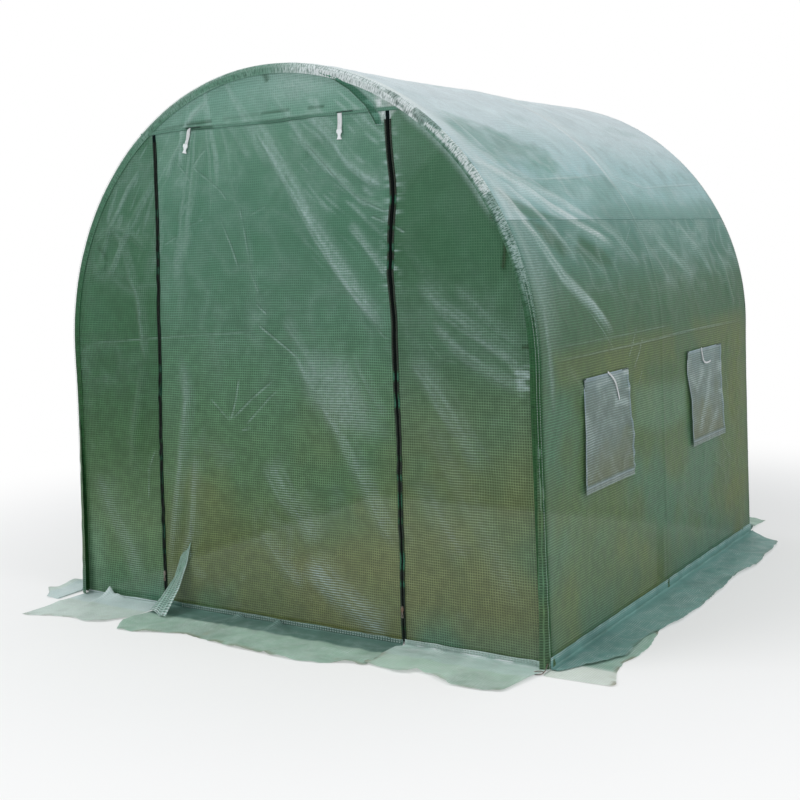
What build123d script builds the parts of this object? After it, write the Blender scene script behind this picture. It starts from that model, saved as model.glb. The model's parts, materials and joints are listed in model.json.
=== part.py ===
from build123d import *
import math
import os

os.makedirs("parts", exist_ok=True)

# Walk-in polytunnel greenhouse. Millimetres, +Z up, front towards -Y.
# Origin: centre of the plan, on the ground.

# ---- Driving dimensions -------------------------------------------------
hoop_radius = 985.0        # centre line of each arch, and half the legs' spacing
leg_height = 940.0         # ground to the level where legs end and arches begin
hoop_pitch = 1000.0        # between neighbouring hoops
hip_angle = 27.0           # hip purlins, degrees above the horizontal
tube_od = 25.0
tube_wall = 1.0
tube_sides = 8             # flats round each tube, which keep the frame's facets few
arch_bore_sides = 6        # flats inside an arch, where nothing fits
fit_gap = 0.3              # clearance between tubes, plugs and film
swage_length = 45.0        # narrowed end of an arch that plugs into its leg
swage_taper = 3.0          # length over which the end narrows

film = 2.0                 # stand-in thickness of the cover
seam_width = 36.0          # doubled film along the arches and corners
seam_film = 1.2

zip_heads = {-1: -515.0, 1: 487.0}     # zip lines at the door's top seam, left and right
zip_feet = {-1: -590.0, 1: 478.0}      # and on the ground; the slack film carries the left one out
door_corner_margin = 2.0   # between the door's top corners and the arch's seam
zip_bottom = 40.0
zip_top_gap = 30.0         # between the zips' upper ends and the door's top seam
zip_tape_width = 30.0
zip_tape_thickness = 1.2
zip_coil_width = 7.0
zip_coil_height = 1.6

window_drop = 255.0        # window centres below the eave
window_opening = 300.0     # square opening cut through the wall sheet
flap_width = 375.0
flap_length = 378.0
flap_film = 1.2

side_skirt_width = 222.0
end_skirt_width = 240.0    # front and back skirts, at the middle
end_skirt_flare = 60.0     # how much further their corners reach out
side_skirt_flare = 30.0    # how far the side skirts' outer corners reach past the ends
skirt_slit = 8.0           # slit between neighbouring skirts

fitting_chamfer = 3.0
plug_length = 45.0         # plugs of the ground fittings inside the tubes

saddle_wall = 2.5
saddle_clearance = 0.6
saddle_length = 44.0       # along the hoop
saddle_reach = 55.0        # along a purlin, from the hoop's centre line

strap_width = 18.0
strap_length = 50.0        # from the door's top seam to the buckle
strap_thickness = 1.5
strap_rise = 15.0          # stitched length above the seam
strap_places = [-345.0, 302.0]
buckle_length = 30.0
buckle_thickness = 4.5
buckle_waist = 9.0         # narrowest width, between its shoulders and its mouth

pull_width = 9.0
slider_length = 16.0
tab_length = 26.0
pull_height = 120.0        # sliders above the ground, with the door closed

tie_width = 20.0           # webbing ties that hold the cover to the end hoops
tie_thickness = 1.5
tie_tails = {4.0: 35.0, 23.0: 95.0}    # each tie's angle above the eave, and its tail
tail_drop = 4.0            # tails leave their ties this far below the hoop's centre line

# ---- Places worked out from them ---------------------------------------
tube_r = tube_od / 2
bore_r = tube_r - tube_wall
plug_r = bore_r - fit_gap
skin_in = hoop_radius + tube_r + fit_gap      # inner face of the cover, from the arches' centre
skin_out = skin_in + film
end_in = hoop_pitch + tube_r + fit_gap        # inner face of the front and back, from the middle
end_out = end_in + film
panel_edge = skin_in - fit_gap                # edge of the front and back panels
hoop_places = [-hoop_pitch, 0.0, hoop_pitch]
window_places = [(a + b) / 2 for a, b in zip(hoop_places, hoop_places[1:])]
window_height = leg_height - window_drop
corner_reach = panel_edge - seam_width - door_corner_margin
door_corner = max(abs(x) for x in zip_heads.values())
door_height = leg_height + math.sqrt(corner_reach**2 - door_corner**2)
purlin_angles = {
    "right_eave": 0.0,
    "right_hip": hip_angle,
    "ridge": 90.0,
    "left_hip": 180.0 - hip_angle,
    "left_eave": 180.0,
}
arch_axis = Axis((0, 0, leg_height), (0, -1, 0))
ALONG_Y = Rot(-90, 0, 0)
ALONG_X = Rot(0, 90, 0)


def save(name, *solids):
    """Writes one node from solids that don't touch each other."""
    shape = solids[0] if len(solids) == 1 else Compound(children=list(solids))
    export_step(shape, f"parts/{name}.step")


def ring_section(radius):
    """A tube's outline seen end on, with a flat towards each axis."""
    return RegularPolygon(radius, tube_sides, major_radius=False, rotation=180 / tube_sides)


def bar(radius, length):
    """A bar standing on the origin."""
    return extrude(ring_section(radius), amount=length)


def tube(length):
    """A tube standing on the origin."""
    return bar(tube_r, length) - bar(bore_r, length)


def box_between(low, high):
    """A block between two corners."""
    size = [h - l for l, h in zip(low, high)]
    middle = [(h + l) / 2 for l, h in zip(low, high)]
    return Pos(*middle) * Box(*size)


def on_arch(angle, y):
    """A frame on an arch's centre line: X along the arch, Z towards the inside."""
    c = math.cos(math.radians(angle))
    s = math.sin(math.radians(angle))
    place = (hoop_radius * c, y, leg_height + hoop_radius * s)
    return Plane(origin=place, x_dir=(-s, 0, c), z_dir=(-c, 0, -s))


# ---- Hoops --------------------------------------------------------------
def arch_bore(radius):
    """An arch's bore seen end on, inside a circle of that radius."""
    return RegularPolygon(radius, arch_bore_sides, rotation=180 / arch_bore_sides)


def swaged_end():
    """The narrowed end of an arch, hanging down from the origin."""
    full = ring_section(tube_r)
    narrow = ring_section(plug_r)
    narrow_bore = arch_bore(plug_r - tube_wall)
    below = Pos(0, 0, -swage_taper)
    taper = loft([full, below * narrow], ruled=True)
    taper -= loft([arch_bore(bore_r), below * narrow_bore], ruled=True)
    neck = extrude(below * (narrow - narrow_bore), amount=swage_taper - swage_length)
    return taper + neck


def hoop_arch(y):
    """A half ring of tube with a swaged end over each leg."""
    section = Pos(hoop_radius, y, leg_height) * (ring_section(tube_r) - arch_bore(bore_r))
    arch = revolve(section, axis=arch_axis, revolution_arc=180)
    for side in (-1, 1):
        arch += Pos(side * hoop_radius, y, leg_height) * swaged_end()
    return arch


def hoop_legs(y):
    """Two legs, from the ground fittings up to the arch's swaged ends."""
    length = leg_height - swage_taper - tube_od
    return [Pos(side * hoop_radius, y, tube_od) * tube(length) for side in (-1, 1)]


for label, y in zip(("front", "middle", "back"), hoop_places):
    save(f"{label}_hoop_legs", *hoop_legs(y))
    save(f"{label}_hoop_arch", hoop_arch(y))


# ---- Purlins and the saddles that carry them -----------------------------
def purlin(angle):
    """A tube in each bay, level with the outside of the hoops and with a flat towards the cover."""
    length = hoop_pitch - tube_od - 2 * fit_gap
    starts = [y + tube_r + fit_gap for y in hoop_places[:-1]]
    return [on_arch(angle, start) * (ALONG_Y * tube(length)) for start in starts]


def saddle(angle, y, sides):
    """A cross-shaped half shell under a hoop, with a cradle for each purlin end that meets there."""
    inner = tube_r + saddle_clearance
    outer = inner + saddle_wall
    shell = Pos(-saddle_length / 2, 0, 0) * ALONG_X * bar(outer, saddle_length)
    bores = Pos(-saddle_length, 0, 0) * ALONG_X * bar(inner, 2 * saddle_length)
    for side in sides:
        shell += Rot(-90 * side, 0, 0) * bar(outer, saddle_reach)
    bores += Pos(0, -2 * saddle_reach, 0) * ALONG_Y * bar(inner, 4 * saddle_reach)
    low_y = -saddle_reach if -1 in sides else -tube_r
    high_y = saddle_reach if 1 in sides else tube_r
    inside_half = box_between((-saddle_reach, low_y, 0), (saddle_reach, high_y, 2 * outer))
    return on_arch(angle, y) * ((shell - bores) & inside_half)


for label, angle in purlin_angles.items():
    name = "ridge_purlin" if label == "ridge" else f"{label}_purlin"
    save(name, *purlin(angle))

saddles = []
for angle in purlin_angles.values():
    for y, sides in zip(hoop_places, ((1,), (-1, 1), (-1,))):
        saddles.append(saddle(angle, y, sides))
save("purlin_saddles", *saddles)


# ---- Ground rails and fittings -------------------------------------------
def side_rail(side):
    """Two tubes on the ground between the legs' fittings."""
    length = hoop_pitch - tube_od
    return [
        Pos(side * hoop_radius, y + tube_r, tube_r) * ALONG_Y * tube(length)
        for y in hoop_places[:-1]
    ]


def end_rail(y):
    """The ground rail across the front or back."""
    length = 2 * hoop_radius - tube_od
    return Pos(-hoop_radius + tube_r, y, tube_r) * ALONG_X * tube(length)


def ground_fitting(side, y):
    """A connector block with plugs for the leg and each rail that meet on it."""
    block = Box(tube_od, tube_od, tube_od)
    block = chamfer(block.edges(), fitting_chamfer)
    plug = bar(plug_r, tube_r + plug_length)
    block += plug
    if y < hoop_places[-1]:
        block += Rot(-90, 0, 0) * plug
    if y > hoop_places[0]:
        block += Rot(90, 0, 0) * plug
    if y != 0:
        block += Rot(0, -90 * side, 0) * plug
    return Pos(side * hoop_radius, y, tube_r) * block


save("left_ground_rail", *side_rail(-1))
save("right_ground_rail", *side_rail(1))
save("front_ground_rail", end_rail(-hoop_pitch))
save("back_ground_rail", end_rail(hoop_pitch))
save("ground_fittings", *[ground_fitting(side, y) for side in (-1, 1) for y in hoop_places])


# ---- Cover over the hoops -------------------------------------------------
def wall_sheet(side):
    """A side wall from ground to eave, cut through for two windows."""
    low = (min(side * skin_in, side * skin_out), -end_out, 0)
    high = (max(side * skin_in, side * skin_out), end_out, leg_height)
    sheet = box_between(low, high)
    for y in window_places:
        hole = Box(4 * film, window_opening, window_opening)
        sheet -= Pos(side * skin_in, y, window_height) * hole
    return sheet


def roof_strip(start, end):
    """The cover between two angles of the arch."""
    c = math.cos(math.radians(start))
    s = math.sin(math.radians(start))
    edge = Plane(origin=(0, 0, leg_height), x_dir=(c, 0, s), z_dir=(-s, 0, c))
    middle = (skin_in + skin_out) / 2
    profile = edge * (Pos(middle, 0) * Rectangle(film, 2 * end_out))
    return revolve(profile, axis=arch_axis, revolution_arc=end - start)


save("right_wall_sheet", wall_sheet(1))
save("left_wall_sheet", wall_sheet(-1))
save("right_lower_roof", roof_strip(0, hip_angle))
save("right_upper_roof", roof_strip(hip_angle, 90))
save("left_upper_roof", roof_strip(90, 180 - hip_angle))
save("left_lower_roof", roof_strip(180 - hip_angle, 180))


# ---- Front, door and back -------------------------------------------------
def end_outline(radius):
    """The tunnel's section, from the ground to the top of the arch, in X and Z."""
    walls = Pos(0, leg_height / 2) * Rectangle(2 * radius, leg_height)
    return walls + Pos(0, leg_height) * Circle(radius)


def sheet_on(face_y, outline, thickness):
    """A flat sheet whose front face lies at face_y, growing towards the back."""
    face = Plane(origin=(0, face_y, 0), x_dir=(1, 0, 0), z_dir=(0, -1, 0)) * outline
    return extrude(face, amount=-thickness)


def region(x0, x1, z0, z1):
    """A rectangle in X and Z."""
    return Pos((x0 + x1) / 2, (z0 + z1) / 2) * Rectangle(x1 - x0, z1 - z0)


def zip_x(side, z):
    """Where a zip's line lies across the front, at a height."""
    foot = zip_feet[side]
    return foot + (zip_heads[side] - foot) * z / door_height


top = leg_height + skin_out
section = end_outline(panel_edge) & region(-skin_out, skin_out, 0, top)
for label, side in (("left", -1), ("right", 1)):
    foot = (zip_feet[side], 0)
    head = (zip_heads[side], door_height)
    corners = [foot, head, (head[0], top), (side * skin_out, top), (side * skin_out, 0)]
    beside = make_face(Polyline(*corners, close=True))
    save(f"front_{label}_panel", sheet_on(-end_out, section & beside, film))
above_door = region(zip_heads[-1], zip_heads[1], door_height, top)
save("front_top_panel", sheet_on(-end_out, section & above_door, film))
door = Polyline(
    (zip_feet[-1], 0),
    (zip_heads[-1], door_height),
    (zip_heads[1], door_height),
    (zip_feet[1], 0),
    close=True,
)
save("door_panel", sheet_on(-end_out, make_face(door), film))
save("back_panel", sheet_on(end_in, section, film))

seam = end_outline(panel_edge) - end_outline(panel_edge - seam_width)
seam = seam & region(-skin_out, skin_out, film, top)
save("front_edge_seam", sheet_on(-end_out - seam_film, seam, seam_film))
save("back_edge_seam", sheet_on(end_out, seam, seam_film))


# ---- Zips, pulls and straps ------------------------------------------------
def on_zip(side, z):
    """A frame on a zip's line at a height, standing along the zip."""
    rise = door_height - z
    lean = math.degrees(math.atan2(zip_heads[side] - zip_x(side, z), rise))
    return Pos(zip_x(side, z), -end_out, z) * Rot(0, lean, 0)


def door_zip(side):
    """A zip's tape with the coil standing proud along its middle."""
    length = door_height - zip_bottom - zip_top_gap
    tape = box_between(
        (-zip_tape_width / 2, -zip_tape_thickness, 0),
        (zip_tape_width / 2, 0, length),
    )
    coil_depth = zip_tape_thickness + zip_coil_height
    coil = box_between((-zip_coil_width / 2, -coil_depth, 0), (zip_coil_width / 2, 0, length))
    return on_zip(side, zip_bottom) * (tape + coil)


def zip_pull(side, z):
    """A shield-shaped slider on the coil, with its tab hanging down."""
    half = pull_width / 2
    profile = [(half, 0), (half, 0.6 * slider_length), (0.6 * half, slider_length)]
    shield = Polyline(*profile, *[(-a, b) for a, b in reversed(profile)], close=True)
    slider = extrude(Plane.XZ * make_face(shield), amount=5)
    outline = Trapezoid(pull_width, tab_length, 85) - Pos(0, -6) * Rectangle(3.5, 6)
    tab = extrude(Plane.XZ * (Pos(0, 3 - tab_length / 2) * outline), amount=2)
    proud = Pos(0, -zip_tape_thickness - zip_coil_height, 0)
    return on_zip(side, z) * proud * (slider + Pos(0, -3, 0) * tab)


def door_strap(x):
    """A webbing strap from the door's top seam, with a side-release buckle half at its end."""
    webbing = box_between(
        (-strap_width / 2, -strap_thickness, -strap_length),
        (strap_width / 2, 0, strap_rise),
    )
    half = strap_width / 2
    waist = buckle_waist / 2
    low = -buckle_length
    profile = [(half, 3), (half + 2, 0), (half + 2, -6), (half - 2, -9), (waist, -15), (half + 1, low)]
    outline = Polyline(*profile, *[(-a, b) for a, b in reversed(profile)], close=True)
    slot = Pos(0, -3) * Rectangle(strap_width - 4, 2.5)
    buckle = extrude(Plane.XZ * (make_face(outline) - slot), amount=buckle_thickness)
    return Pos(x, -end_out, door_height) * (webbing + Pos(0, 0, -strap_length) * buckle)


save("left_zip", door_zip(-1))
save("right_zip", door_zip(1))
save("zip_pulls", zip_pull(-1, pull_height), zip_pull(1, pull_height))
save("door_straps", *[door_strap(x) for x in strap_places])


# ---- Ties ---------------------------------------------------------------------
def hoop_tie(angle, y, tail_length):
    """A webbing tie from the roof, round the inside of an end hoop, with its tail hanging down."""
    inner = tube_r + fit_gap
    outer = inner + tie_thickness
    half_width = tie_width / 2
    band = Pos(-half_width, 0, 0) * ALONG_X * (bar(outer, tie_width) - bar(inner, tie_width))
    band &= box_between((-half_width, -tube_r, 0), (half_width, outer, outer))
    band += box_between((-half_width, inner, -tube_r), (half_width, outer, 0))
    if y > 0:
        band = mirror(band, Plane.XZ)
    place = on_arch(angle, y)
    tail_x = place.origin.X - math.copysign(inner + half_width, place.origin.X)
    tail = Pos(tail_x, y, place.origin.Z - tail_drop - tail_length / 2)
    return place * band + tail * Box(tie_width, tie_thickness, tail_length)


ties = []
for y in (hoop_places[0], hoop_places[-1]):
    for angle, tail_length in tie_tails.items():
        ties.append(hoop_tie(angle, y, tail_length))
        ties.append(hoop_tie(180 - angle, y, tail_length))
save("hoop_ties", *ties)


# ---- Windows ----------------------------------------------------------------
def window_screen(side, y):
    """The mesh sewn into a window's opening."""
    middle = side * (skin_in + skin_out) / 2
    return Pos(middle, y, window_height) * Box(film, window_opening, window_opening)


def window_flap(side, y):
    """The film flap that hangs over a window, outside."""
    middle = side * (skin_out + flap_film / 2)
    return Pos(middle, y, window_height) * Box(flap_film, flap_width, flap_length)


def window_tie(side, y):
    """A tape that hangs over the flap from its top edge, to tie the rolled flap."""
    middle = side * (skin_out + flap_film + 0.75)
    return Pos(middle, y, window_height + flap_length / 2 - 55) * Box(1.5, 10, 110)


for label, side in (("left", -1), ("right", 1)):
    save(f"{label}_window_screens", *[window_screen(side, y) for y in window_places])
    save(f"{label}_window_flaps", *[window_flap(side, y) for y in window_places])
save("window_ties", *[window_tie(side, y) for side in (-1, 1) for y in window_places])


# ---- Ground skirts -----------------------------------------------------------
def flat_on_ground(points):
    """A skirt lying on the ground, from its outline in X and Y."""
    return extrude(make_face(Polyline(*points, close=True)), amount=film)


def side_skirt(side):
    """The skirt along a side wall."""
    inner = side * skin_out
    outer = side * (skin_out + side_skirt_width)
    corner = end_out + side_skirt_flare
    return flat_on_ground([(inner, -end_out), (outer, -corner), (outer, corner), (inner, end_out)])


def end_skirt(x0, x1, face, grow):
    """A skirt along the front or back face; grow is how much further its two outer corners reach."""
    sign = math.copysign(1, face)
    reach = [face + sign * (end_skirt_width + extra) for extra in grow]
    return flat_on_ground([(x0, face), (x1, face), (x1, reach[1]), (x0, reach[0])])


half_slit = skirt_slit / 2
corner_x = skin_out - half_slit
save("left_skirt", side_skirt(-1))
save("right_skirt", side_skirt(1))
save(
    "front_skirts",
    end_skirt(-corner_x, zip_feet[-1] - half_slit, -end_out, (end_skirt_flare, 0)),
    end_skirt(zip_feet[-1] + half_slit, zip_feet[1] - half_slit, -end_out, (0, -end_skirt_flare)),
    end_skirt(zip_feet[1] + half_slit, corner_x, -end_out, (-end_skirt_flare, 0)),
)
save("back_skirt", end_skirt(-corner_x, corner_x, end_out, (end_skirt_flare, end_skirt_flare)))
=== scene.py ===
import itertools
import json
import math
import bpy
import numpy as np
from mathutils import Matrix, Vector


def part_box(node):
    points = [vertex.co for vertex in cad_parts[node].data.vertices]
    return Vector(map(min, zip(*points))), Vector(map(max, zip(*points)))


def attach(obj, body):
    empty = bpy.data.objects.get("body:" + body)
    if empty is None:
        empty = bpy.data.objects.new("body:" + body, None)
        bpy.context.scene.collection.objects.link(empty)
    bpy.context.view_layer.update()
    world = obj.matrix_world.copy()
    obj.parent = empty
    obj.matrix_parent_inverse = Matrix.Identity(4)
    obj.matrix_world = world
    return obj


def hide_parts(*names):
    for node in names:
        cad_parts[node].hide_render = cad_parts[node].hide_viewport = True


# Looks of the walk-in polytunnel: film cover with its folds, zips, windows and ground skirts.
# Metres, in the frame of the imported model: +Z up, front towards -Y, ridge along Y.

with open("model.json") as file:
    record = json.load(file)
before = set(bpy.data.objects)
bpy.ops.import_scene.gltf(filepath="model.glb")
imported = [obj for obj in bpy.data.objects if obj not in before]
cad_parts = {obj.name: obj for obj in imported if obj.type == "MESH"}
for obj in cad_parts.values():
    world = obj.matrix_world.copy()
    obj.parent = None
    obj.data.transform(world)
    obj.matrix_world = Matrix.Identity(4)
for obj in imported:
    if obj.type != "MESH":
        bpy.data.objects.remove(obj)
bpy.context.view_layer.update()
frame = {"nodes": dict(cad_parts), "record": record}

# ---- Sizes read from the frame ------------------------------------------------------------------
wall_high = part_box("right_wall_sheet")[1]
ACROSS, FORWARDS = (1.0, 0.0, 0.0), (0.0, -1.0, 0.0)
RADIUS = wall_high[0]                        # outer face of the cover, from the arches' centre
END = wall_high[1]                           # outer face of the front and back, from the middle
EAVE = wall_high[2]                          # height where the arches begin
HOOP = sum(corner[1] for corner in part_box("back_hoop_arch")) / 2
WRAP = END - HOOP                            # radius at which the film turns round the end hoops
HIP = math.asin((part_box("right_lower_roof")[1][2] - EAVE) / RADIUS)
HALF = EAVE + RADIUS * math.pi / 2           # from the ground to the ridge, along the cover
HIP_S = EAVE + RADIUS * HIP
DOOR_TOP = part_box("door_panel")[1][2]
TOP = EAVE + RADIUS
BAND = 0.034                                 # seam band round the front and back
GRID = 0.0085                                # pitch of the film's reinforcing threads
FACE = END - 0.0007                          # the front's and the back's film, from the middle
UNSEEN = 9                                   # a place beyond every end
HEM_HEIGHT = 0.004                           # lower edge of the walls and of the front, off the ground
LAP = END + 0.0084                           # where the cover's film ends, round the end hoops

ZIP_LOW, ZIP_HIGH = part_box("right_zip")[0][2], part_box("right_zip")[1][2]
zip_ends = {}
for side, label in ((-1, "left"), (1, "right")):
    low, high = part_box(f"{label}_zip")
    zip_ends[side] = (low[0] + 0.0155, high[0] - 0.0155)      # across the front, at foot and head


# ---- Numbers ------------------------------------------------------------------------------------
def srgb(red, green, blue):
    """A colour from its 0 to 255 screen values, as linear light."""
    c = np.array((red, green, blue)) / 255
    return np.where(c <= 0.04045, c / 12.92, ((c + 0.055) / 1.055) ** 2.4)


def smooth(x, low, high):
    """0 below low, 1 above high, with soft ends."""
    t = np.clip((x - low) / (high - low), 0, 1)
    return t * t * (3 - 2 * t)


def bump(x, middle, width):
    """1 at a middle, falling softly away on both sides."""
    return np.exp(-(((x - middle) / width) ** 2))


def noise(u, v, seed):
    """Smooth noise from -1 to 1 with one feature a unit."""
    table = np.random.default_rng(seed).uniform(-1, 1, (64, 64))
    i, j = np.floor(u).astype(int), np.floor(v).astype(int)
    a, b = u - i, v - j
    a, b = a * a * (3 - 2 * a), b * b * (3 - 2 * b)
    near = table[i % 64, j % 64] * (1 - a) + table[(i + 1) % 64, j % 64] * a
    far = table[i % 64, (j + 1) % 64] * (1 - a) + table[(i + 1) % 64, (j + 1) % 64] * a
    return near * (1 - b) + far * b


def layers(u, v, size, seed, octaves=4):
    """Fractal noise whose largest features are size metres."""
    total = np.zeros(np.broadcast(u, v).shape)
    for k in range(octaves):
        turn = 0.9 * k
        s = 2.0**k / size
        x = (u * math.cos(turn) - v * math.sin(turn)) * s
        y = (u * math.sin(turn) + v * math.cos(turn)) * s
        total += noise(x + 11.3 * k, y - 7.1 * k, seed + k) / 1.9**k
    return total / 1.9


def ridges(u, v, size, seed):
    """Creased noise from 0 to 1: narrow ridges between flat facets."""
    return (1 - np.abs(layers(u, v, size, seed, 3))) ** 6


def with_shine(colour, shine):
    """A colour with the strength of its painted sheen beside it."""
    return np.concatenate([colour, np.clip(shine, 0, 1)[..., None]], -1)


def along(u, v, points):
    """Signed distance to a line through points, and how far along it each place is, from 0 to 1."""
    best = np.full(np.shape(u), 1e9)
    signed = np.full(np.shape(u), 1e9)
    place = np.zeros(np.shape(u))
    lengths = [math.dist(a, b) for a, b in zip(points, points[1:])]
    whole = sum(lengths)
    done = 0.0
    for (a, b), length in zip(zip(points, points[1:]), lengths):
        dx, dy = (b[0] - a[0]) / length, (b[1] - a[1]) / length
        t = np.clip((u - a[0]) * dx + (v - a[1]) * dy, 0, length)
        px, py = u - a[0] - dx * t, v - a[1] - dy * t
        d = np.hypot(px, py)
        closer = d < best
        best = np.where(closer, d, best)
        signed = np.where(closer, np.where(dx * py - dy * px < 0, -d, d), signed)
        place = np.where(closer, (done + t) / whole, place)
        done += length
    return signed, place


def fold(u, v, points, width, fade=0.18):
    """A soft fold along a line: 1 on its crest, steeper on one side, fading at both ends."""
    d, t = along(u, v, points)
    flank = np.where(d > 0, width, 0.55 * width)
    return np.exp(-((d / flank) ** 2)) * smooth(t, -0.01, fade) * (1 - smooth(t, 1 - fade, 1.01))


def streaks(u, v, points, width, seed):
    """A fold's painted sheen: bright lines side by side that run along it."""
    d, t = along(u, v, points)
    reach = sum(math.dist(a, b) for a, b in zip(points, points[1:]))
    fine = 0.62 + 0.38 * noise(d / 0.0065 + 9, t * reach / 0.11, seed)
    broad = 0.75 + 0.25 * noise(d / 0.018, t * reach / 0.22 + 5, seed + 1)
    return fold(u, v, points, width) * fine * broad * 1.25


def fold_shine(u, v, folds, spread, seed):
    """The painted sheen of many folds: each is points, a width, a height and how pale it is."""
    shine = np.zeros(u.shape)
    for k, (points, width, _, pale) in enumerate(folds):
        shine = np.maximum(shine, pale * streaks(u, v, points, spread * width, seed + 3 * k))
    return shine


def strokes(u, v, slope, seed):
    """Short pale strokes side by side, lying at a slope in degrees from level."""
    a = math.radians(slope) + 0.03 * noise(u / 0.25, v / 0.25, seed + 1)
    p, q = u * np.cos(a) + v * np.sin(a), v * np.cos(a) - u * np.sin(a)
    q = q + 0.004 * noise(u / 0.11, v / 0.11, seed + 2)
    return smooth(noise(p / 0.085, q / 0.0105, seed), 0.22, 0.85)


def patch(u, v, corners, soft):
    """1 inside an outline and 0 outside it, with an edge soft metres wide."""
    inside = np.zeros(np.shape(u), bool)
    closed = corners + corners[:1]
    for (x0, y0), (x1, y1) in zip(closed, closed[1:]):
        crosses = (y0 > v) != (y1 > v)
        inside ^= crosses & (u < (x1 - x0) * (v - y0) / (y1 - y0 + 1e-12) + x0)
    d, _ = along(u, v, closed)
    return smooth(np.where(inside, np.abs(d), -np.abs(d)), -soft, soft)


def ramp(x, stops):
    """A colour for each place, between stops of (place, colour)."""
    places = [s[0] for s in stops]
    return np.stack([np.interp(x, places, [s[1][k] for s in stops]) for k in range(3)], -1)


def screen_stops(*stops):
    """Stops for a ramp, each from a place and 0 to 255 screen values."""
    return [(place, srgb(*values)) for place, *values in stops]


def blend(a, b, t):
    """From colour a to colour b."""
    t = np.asarray(t)[..., None]
    return a * (1 - t) + b * t


def unit(vectors):
    """Directions with a length of 1."""
    return vectors / np.linalg.norm(vectors, axis=-1)[..., None]


def lattice(*axes):
    """Every pairing of two axes' places, as two arrays."""
    return np.meshgrid(*axes, indexing="ij")


def ruled(first, last, rows, columns):
    """A grid of points between two lines, with each one's place along it and across it."""
    t, w = np.linspace(0, 1, rows), np.linspace(0, 1, columns)
    places = np.linspace(0, 1, len(first))
    lines = [[np.interp(t, places, axis) for axis in zip(*line)] for line in (first, last)]
    first, last = (np.stack(line, -1)[:, None] for line in lines)
    run, over = lattice(t, w)
    return first * (1 - w[:, None]) + last * w[:, None], run, over


def steps(step, *marks):
    """Places from the first mark to the last, about a step apart, with each mark among them."""
    parts = [np.linspace(a, b, max(2, round((b - a) / step) + 1)) for a, b in zip(marks, marks[1:])]
    return np.unique(np.round(np.concatenate(parts), 7))


def shares(step, width):
    """Places from 0 to 1 across a width, about a step apart."""
    return steps(step, 0, width) / width


# Light that each film's sheen adds to its colour, and the share of its colour that is left
SHEENS = {
    "cover film": (np.array((0.032, 0.024, 0.040)), 0.86),
    "seam film": (np.array((0.032, 0.024, 0.040)), 0.86),
    "skirt film": (np.array((0.010, 0.008, 0.012)), 0.72),
    "window film": (np.array((0.020, 0.015, 0.025)), 0.90),
}


# ---- Meshes -------------------------------------------------------------------------------------
def new_piece(name, points, faces, material):
    """An object from vertices and faces with four corners, riding on the tunnel's one body."""
    points = np.asarray(points, float).reshape(-1, 3)
    faces = np.asarray(faces, int)
    used, faces = np.unique(faces, return_inverse=True)
    faces = faces.reshape(-1, 4)
    mesh = bpy.data.meshes.new(name)
    mesh.vertices.add(len(used))
    mesh.vertices.foreach_set("co", points[used].ravel())
    mesh.loops.add(faces.size)
    mesh.loops.foreach_set("vertex_index", faces.ravel())
    mesh.polygons.add(len(faces))
    mesh.polygons.foreach_set("loop_start", np.arange(0, faces.size, 4))
    mesh.update(calc_edges=True)
    mesh.polygons.foreach_set("use_smooth", np.ones(len(faces), bool))
    mesh.materials.append(material)
    piece = bpy.data.objects.new(name, mesh)
    bpy.context.scene.collection.objects.link(piece)
    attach(piece, "root")
    return piece, used, faces


def new_grid(name, points, uv, tint, material, crease=None, skip=None, turned=False):
    """A sheet from a grid of points, with its cloth coordinates in metres, tint and creases.

    skip is True for each face to leave out, and turned makes the sheet face the other way.
    """
    rows, columns = points.shape[:2]
    if crease is None:
        crease = np.ones((rows, columns)), np.zeros((rows, columns))
    if skip is None:
        skip = np.zeros((rows - 1, columns - 1), bool)
    if turned:
        points, uv, tint, skip, *crease = (a[:, ::-1] for a in (points, uv, tint, skip, *crease))
    index = np.arange(rows * columns).reshape(rows, columns)
    faces = np.stack([index[:-1, :-1], index[1:, :-1], index[1:, 1:], index[:-1, 1:]], -1)
    faces = faces.reshape(-1, 4)
    piece, used, faces = new_piece(name, points, faces[~skip.ravel()], material)
    mesh = piece.data
    layer = mesh.uv_layers.new(name="cloth")
    layer.data.foreach_set("uv", uv.reshape(-1, 2)[used][faces.ravel()].ravel())
    tint = tint.reshape(-1, tint.shape[-1])[used]
    veil, gain = SHEENS.get(material.name, (0.0, 1.0))
    colour = np.zeros((len(used), 4))
    colour[:, : tint.shape[1]] = np.clip(tint, 0, 1)
    colour[:, :3] = np.clip((colour[:, :3] - veil) / gain, 0.003, 1)
    mesh.attributes.new("tint", "FLOAT_COLOR", "POINT").data.foreach_set("color", colour.ravel())
    for key, values in zip(("crease", "crease_weight"), crease):
        values = np.asarray(values, float).ravel()[used]
        mesh.attributes.new(key, "FLOAT", "POINT").data.foreach_set("value", values)
    return piece


def swept(name, path, across, out, profile, material, tint=1.0):
    """A ribbon along a path: profile lists its offsets in the directions across and out."""
    path = np.asarray(path, float)
    across, out = (np.broadcast_to(np.asarray(a, float), path.shape) for a in (across, out))
    shape = np.asarray(profile, float)
    points = path[:, None] + across[:, None] * shape[None, :, :1] + out[:, None] * shape[None, :, 1:]
    run = np.concatenate([[0], np.cumsum(np.linalg.norm(np.diff(path, axis=0), axis=1))])
    girth = np.concatenate([[0], np.cumsum(np.linalg.norm(np.diff(shape, axis=0), axis=1))])
    uv = np.stack(lattice(run, girth), -1)
    return new_grid(name, points, uv, np.broadcast_to(tint, points.shape), material)


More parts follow.
